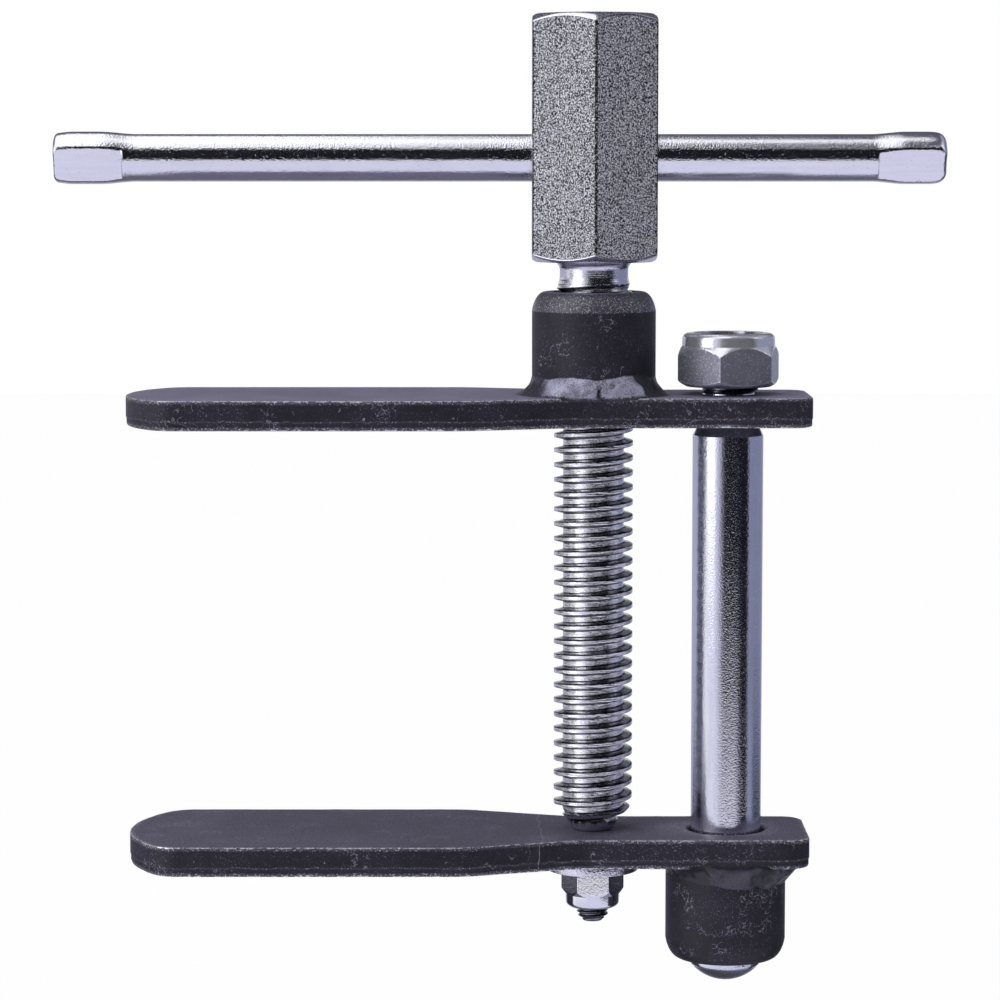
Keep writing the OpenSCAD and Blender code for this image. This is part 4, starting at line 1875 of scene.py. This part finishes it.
@dataclass
class TommyBar:
    """The round bar with swaged ends: flats pressed front and back, which swell the bar between them."""

    radius: float = 4.75
    swage_len: float = 14.0
    swell: float = 0.5
    end_relief: float = 0.3
    relief_run: float = 3.5
    flat_depth: float = 0.85
    swages: tuple[Swage, Swage] = (Swage(19.0, 2.6, 5.0, 0.9), Swage(23.0, 1.0, 6.0, 1.8))
    shoulder: float = 0.4
    sharp_deg: float = 55.0
    flat_columns: int = 16
    side_columns: int = 26
    middle_steps: int = 40
    run_steps: int = 12
    shoulder_steps: int = 4
    flat_steps: int = 16
    end_steps: int = 8
    end_lead: float = 1.3
    past_end: float = 1.01

    def build(self) -> None:
        """Builds the bar."""
        box = Box.of("tommy_bar")
        self.half = box.size[0] / 2
        grid = np.stack([self._section(x) for x in self._stations()], axis=1)
        mesh = Draft().add(grid + box.middle * (1, 0, 1)).mesh("tommy_bar", sharp_deg=self.sharp_deg)
        set_piece(mesh, [BAR_ZINC], Body.TOMMY_BAR, Slot.BRIGHT_ZINC, "tommy_bar")

    def _stations(self) -> np.ndarray:
        """Returns the places along the bar where its section is drawn, past its ends for their middles.

        Returns:
            The places, as distances from the bar's middle.
        """
        left, right = (self._end(swage) for swage in self.swages)
        middle = np.linspace(-left[0], right[0], self.middle_steps)[1:-1]
        return np.concatenate([-left[::-1], middle, right])

    def _end(self, swage: Swage) -> np.ndarray:
        """Returns the places along one end, as distances from the bar's middle.

        Args:
            swage: How that end was pressed.

        Returns:
            The distances, outwards.
        """
        start = self.half - self.swage_len
        bend_start = self.half - swage.end_round * self.end_lead
        bend = np.sin(np.radians(np.linspace(0, 90, self.end_steps)))
        return np.concatenate([
            np.linspace(start - swage.run, start, self.run_steps)[:-1],
            np.linspace(start, start + self.shoulder, self.shoulder_steps),
            np.linspace(start + self.shoulder * 2, bend_start, self.flat_steps),
            self.half - swage.end_round * (1 - bend),
            [self.half * self.past_end],
        ])

    def _section(self, x: float) -> np.ndarray:
        """Returns the ring of points at a place along the bar, drawn to a point past its ends.

        Args:
            x: The place, as a distance from the bar's middle.

        Returns:
            The ring's points.
        """
        out, start, swage = abs(x), self.half - self.swage_len, self.swages[int(x > 0)]
        body = self.radius + self.swell * float(step(start - swage.run, start + swage.rise, out))
        body -= self.end_relief * float(step(self.half - self.relief_run, self.half, out))
        bound = math.acos((self.radius - self.flat_depth) / (self.radius + self.swell))
        tilt = math.radians(swage.tilt_deg)
        turns = np.concatenate([
            np.linspace(-bound, bound, self.flat_columns + 1),
            np.linspace(bound, math.pi - bound, self.side_columns + 1)[1:-1],
        ])
        pressed = np.where(np.abs(turns) <= bound, (self.radius - self.flat_depth) / np.cos(turns), body)
        press = float(step(start, start + self.shoulder, out))
        radii = np.minimum(body, body + (pressed - body) * press)
        bend = min(max(out - self.half + swage.end_round, 0.0) / swage.end_round, 1.0)
        radii = radii - swage.end_round * (1 - math.sqrt(1 - bend ** 2))
        radii = np.tile(radii * float(out <= self.half), 2)
        angles = np.concatenate([turns, turns + math.pi]) + tilt + math.pi
        y, z = radii * np.cos(angles), radii * np.sin(angles)
        return np.stack([np.full_like(y, math.copysign(min(out, self.half), x)), y, z], axis=1)


@dataclass
class UpperArm:
    """The driven arm with its threaded boss, the bead round it, and the guide rod with its nut."""

    screw_hole_r: float = 8.75
    boss_bore_r: float = 8.12
    boss_round: float = 3.8
    boss_thin: float = 0.5
    hole_bevel: float = 0.3
    hole_round: float = 0.2
    heights: tuple[tuple[float, float], ...] = (
        (-180, 3.4), (-62, 3.7), (-49, 3.5), (-25, 4.2), (3, 3.6), (25, 4.4), (43, 4.5), (60, 3.7),
    )
    lobes: tuple[Lobe, ...] = (Lobe(-47, 1, 9, 2), Lobe(5, 40, 2, 3))
    rod_chamfer_h: float = 2.3
    rod_chamfer_round: float = 0.35
    rod_mark: float = 0.6
    stud_r: float = 6.0
    stud_root_r: float = 5.25
    stud_pitch: float = 1.75
    stud_crest: float = 0.22
    stud_flank: float = 28.0
    stud_slope: float = 1.0
    stud_run_out: float = 1.2
    stud_gap: float = 0.05
    stud_round: float = 0.2
    stud_depth: float = 1.0
    stud_plain: float = 0.2
    stud_bevel: float = 0.3
    stud_mark: float = 0.4
    dome_h: float = 3.5
    dome_round: float = 0.5
    dome_steps: int = 14
    nut_across: float = 19.0
    nut_collar: float = 2.6
    nut_turn: float = 48.0
    nut_crown: tuple[float, float] = (1.5, 1.0)
    thread_gap: float = 0.05

    def rod(self, plate: Plate) -> bpy.types.Mesh:
        """Builds the guide rod with its domed end, chamfer and threaded stud.

        Args:
            plate: The arm that the stud stands in.

        Returns:
            The rod's mesh.
        """
        box = Box.of("guide_rod")
        x, low, high, r = box.middle[0], box.low[2], box.high[2], box.size[0] / 2
        dome_r = (r ** 2 + self.dome_h ** 2) / (2 * self.dome_h)
        tip = math.asin(r / dome_r)
        turns = [tip * k / self.dome_steps for k in range(self.dome_steps)]
        dome = [
            Corner(dome_r * math.sin(a), low + dome_r * (1 - math.cos(a)), 0.0, self.rod_mark) for a in turns
        ]
        thread_low = plate.high + self.stud_plain
        shaft = rounded([
            dome[-1],
            Corner(r, low + self.dome_h, self.dome_round, self.rod_mark),
            Corner(r, plate.low - self.rod_chamfer_h, self.rod_chamfer_round, self.rod_mark),
            Corner(self.stud_r, plate.low - self.stud_gap, self.stud_round),
            Corner(self.stud_r, plate.low + self.stud_depth),
            Corner(self.stud_root_r, thread_low),
        ])
        cap_r = self.stud_root_r - self.stud_bevel
        stud = Thread(
            self.stud_r, self.stud_root_r, self.stud_pitch, self.stud_crest, self.stud_flank, thread_low,
            high, self.stud_root_r, self.stud_slope, cap_r, self.stud_run_out, bend_steps=1,
        )
        points, marks = stud.grid()
        points[..., 0] += x
        cap = np.array([[out, high, self.stud_mark] for out in (cap_r, cap_r - self.stud_bevel, 0.0)])
        # The dome and the stud take the darker zinc of painted shade.
        draft = Draft().turned(rounded(dome), x, dress=1).turned(shaft, x)
        draft.add(points, marks, around=False, dress=1).turned(cap, x, dress=1)
        return draft.mesh("guide_rod")

    def build(self) -> None:
        """Builds the arm and everything that moves with it."""
        boss = Post(
            "threaded_boss", Side.ABOVE, self.boss_bore_r, self.boss_round, thin=self.boss_thin, crown_dress=1
        )
        plate = Plate.from_node("upper_arm", seed=40.0)
        plate.holes = [
            Hole(0.0, [
                Corner(self.screw_hole_r + self.hole_bevel, plate.low, 0.0, 0.6),
                Corner(self.screw_hole_r, plate.low + self.hole_bevel, self.hole_round, 0.4),
                Corner(self.screw_hole_r, plate.high),
            ]),
        ]
        bead = Bead(boss, plate, self.heights, self.lobes, joined_from=0.5, seed=5.0)
        for mesh, finishes, slot, node in (
            (plate.mesh("upper_arm"), [PAINT], Slot.BLACK_PAINT, "upper_arm"),
            (boss.mesh(), [PAINT, CROWN_PAINT], Slot.BLACK_PAINT, "threaded_boss"),
            (bead.mesh("boss_weld"), [BOSS_BEAD], Slot.WELD_PAINT, "boss_weld"),
            (self.rod(plate), [ROD_ZINC, SHADED_TAIL_ZINC], Slot.BRIGHT_ZINC, "guide_rod"),
        ):
            set_piece(mesh, finishes, Body.UPPER_ARM, slot, node)
        LockNut(
            "rod_nut", "rod_nut_insert", self.nut_across, self.stud_r + self.thread_gap, self.nut_collar,
            Side.ABOVE, self.nut_turn, *self.nut_crown, SHADED_ROD_NUT_ZINC,
        ).build(Body.UPPER_ARM)


@dataclass(frozen=True)
class Panel:
    """A patch of the studio: where it lies, its colour, its soft edges, and whether both sides have it."""

    bearing: Span
    height: Span
    colour: Colour
    soft: float
    soft_height: float
    mirrored: bool = False


@dataclass(frozen=True)
class SoftBox:
    """A square lamp: its place, its aim, its size, how bright it is, and whether metal mirrors it."""

    name: str
    place: Triple
    aim: Triple
    size: float
    radiance: float
    mirrored: bool = True

    def build(self) -> None:
        """Hangs the lamp."""
        lamp = bpy.data.lights.new(self.name, "AREA")
        lamp.shape = "SQUARE"
        lamp.size = self.size * MM
        lamp.energy = self.radiance * math.pi * lamp.size ** 2
        box = bpy.data.objects.new(self.name, lamp)
        box.location = Vector(self.place) * MM
        box.visible_glossy = self.mirrored
        box.rotation_euler = (Vector(self.aim) - Vector(self.place)).to_track_quat("-Z", "Y").to_euler()
        bpy.context.scene.collection.objects.link(box)


BLACK_CLOTH: Colour = (0.010, 0.010, 0.014)
PALE_PAPER: Colour = (0.74, 0.74, 0.88)


@dataclass
class Studio:
    """The white studio: what the metal sees of it, its lamps, the floor, and the camera."""

    wall: Colour = (1.0, 1.0, 1.0)
    panels: tuple[Panel, ...] = (
        Panel((95, 185), (8, 60), (0.38, 0.38, 0.46), 5.0, 5.0, True),
        Panel((150, 185), (8, 58), (0.10, 0.10, 0.13), 8.0, 8.0, True),
        Panel((100, 185), (8, 28), (0.10, 0.10, 0.12), 5.0, 5.0, True),
        Panel((105, 185), (-30, 1.5), (0.47, 0.47, 0.58), 6.0, 1.5, True),
        Panel((95, 185), (-95, -32), (0.14, 0.14, 0.17), 6.0, 8.0, True),
        Panel((68, 150), (-90, 20), (0.25, 0.27, 0.38), 8.0, 8.0),
        Panel((-179, 5), (48, 95), (1.35, 1.35, 1.38), 6.0, 3.0),
        Panel((7, 179), (50, 77), (0.12, 0.12, 0.15), 6.0, 3.0),
        Panel((0, 14), (44, 68), BLACK_CLOTH, 4.0, 3.0),
        Panel((-66, -12), (-11.3, 5), PALE_PAPER, 6.0, 2.0),
        Panel((-90, -66), (-4.6, 12), (0.05, 0.05, 0.06), 3.0, 0.6),
        Panel((-85, 95), (-90, -16), PALE_PAPER, 4.0, 1.5),
        Panel((95, 150), (-45, -10.5), (0.03, 0.03, 0.04), 6.0, 0.5, True),
        Panel((-27, 40), (-16, 46), BLACK_CLOTH, 15.0, 0.7),
        Panel((0, 70), (-16, 46), BLACK_CLOTH, 4.0, 0.7),
        Panel((-85, 36), (-16, -11.1), (0.95, 0.95, 1.0), 14.0, 0.5),
    )
    lamps: tuple[SoftBox, ...] = (
        SoftBox("top_box", (-100.0, -150.0, 1150.0), (0.0, 0.0, 60.0), 1000.0, 1.3, False),
        SoftBox("left_box", (-1000.0, -560.0, 300.0), (0.0, 0.0, 70.0), 700.0, 1.2),
    )
    floor_drop: float = 84.0
    floor_half: float = 3000.0
    floor_white: float = 0.95
    floor_share: float = 0.03
    lens_px: float = 3567.0
    sensor: float = 36.0
    nearest: float = 10.0
    eye: Triple = (-18.95, -720.0, 144.07)
    pitch_deg: float = 5.604

    def light(self) -> None:
        """Writes the world: white to the camera, and the studio's panels to everything else."""
        world = bpy.data.worlds.new("studio")
        world.use_nodes = True
        bpy.context.scene.world = world
        graph = Graph(world.node_tree)
        way = graph.node("ShaderNodeTexCoord", output="Generated")
        x, y, z = (graph.axis(way, name) for name in "XYZ")
        bearing = x.bearing(0.0 - y)
        height = z.arcsine()
        seen: Any = self.wall
        for panel in self.panels:
            turn = abs(bearing) if panel.mirrored else bearing
            across = turn.window(*panel.bearing, panel.soft)
            upright = height.window(*panel.height, panel.soft_height)
            seen = graph.blend(across * upright, seen, panel.colour)
        camera = graph.node("ShaderNodeLightPath", output="Is Camera Ray")
        colour = graph.blend(camera, seen, self.wall)
        backdrop = graph.node("ShaderNodeBackground", None, {"Color": colour})
        graph.node("ShaderNodeOutputWorld", None, {"Surface": backdrop})
        for lamp in self.lamps:
            lamp.build()

    def floor(self, level: float) -> None:
        """Lays the pale floor below the reach of the guide rod when the arms are closed.

        Args:
            level: Height of the object's lowest point at rest.
        """
        half = self.floor_half
        corners = np.array([[[-half, -half], [-half, half]], [[half, -half], [half, half]]])
        grid = np.concatenate([corners, np.full((2, 2, 1), level - self.floor_drop)], axis=-1)
        mesh = Draft().add(grid, around=False).mesh("floor")
        material = bpy.data.materials.new("floor_white")
        material.use_nodes = True
        graph = Graph(material.node_tree)
        matt = graph.node("ShaderNodeBsdfDiffuse", None, {"Color": opaque((self.floor_white,) * 3)})
        glow = graph.node("ShaderNodeEmission", None, {"Color": opaque(self.wall), "Strength": 1.0})
        camera = graph.node("ShaderNodeLightPath", output="Is Camera Ray")
        share = camera * (1.0 - self.floor_share)
        mixed = graph.node("ShaderNodeMixShader", None, {0: share, 1: matt, 2: glow})
        graph.node("ShaderNodeOutputMaterial", None, {"Surface": mixed})
        mesh.materials.append(material)
        floor = bpy.data.objects.new("floor", mesh)
        floor.visible_glossy = False
        bpy.context.scene.collection.objects.link(floor)
        floor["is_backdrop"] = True

    def camera(self) -> None:
        """Stands the camera where the photograph was taken from."""
        lens = bpy.data.cameras.new("portrait")
        lens.sensor_width = self.sensor
        lens.lens = self.sensor * self.lens_px / PHOTO_PX
        lens.clip_start = self.nearest * MM
        camera = bpy.data.objects.new("portrait", lens)
        camera.location = Vector(self.eye) * MM
        camera.rotation_euler = (math.radians(90.0 - self.pitch_deg), 0.0, 0.0)
        bpy.context.scene.collection.objects.link(camera)
        bpy.context.scene.camera = camera


def main() -> None:
    """Builds every piece on the frame, then the studio."""
    logging.basicConfig(level=logging.INFO, format="%(name)s %(message)s")
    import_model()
    cad_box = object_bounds()
    bpy.context.scene.view_settings.view_transform = "Standard"
    LowerArm().build()
    Spindle().build()
    TommyBar().build()
    UpperArm().build()
    studio = Studio()
    studio.light()
    studio.floor(cad_box[0].z / MM)
    studio.camera()


if __name__ == "__main__":
    main()
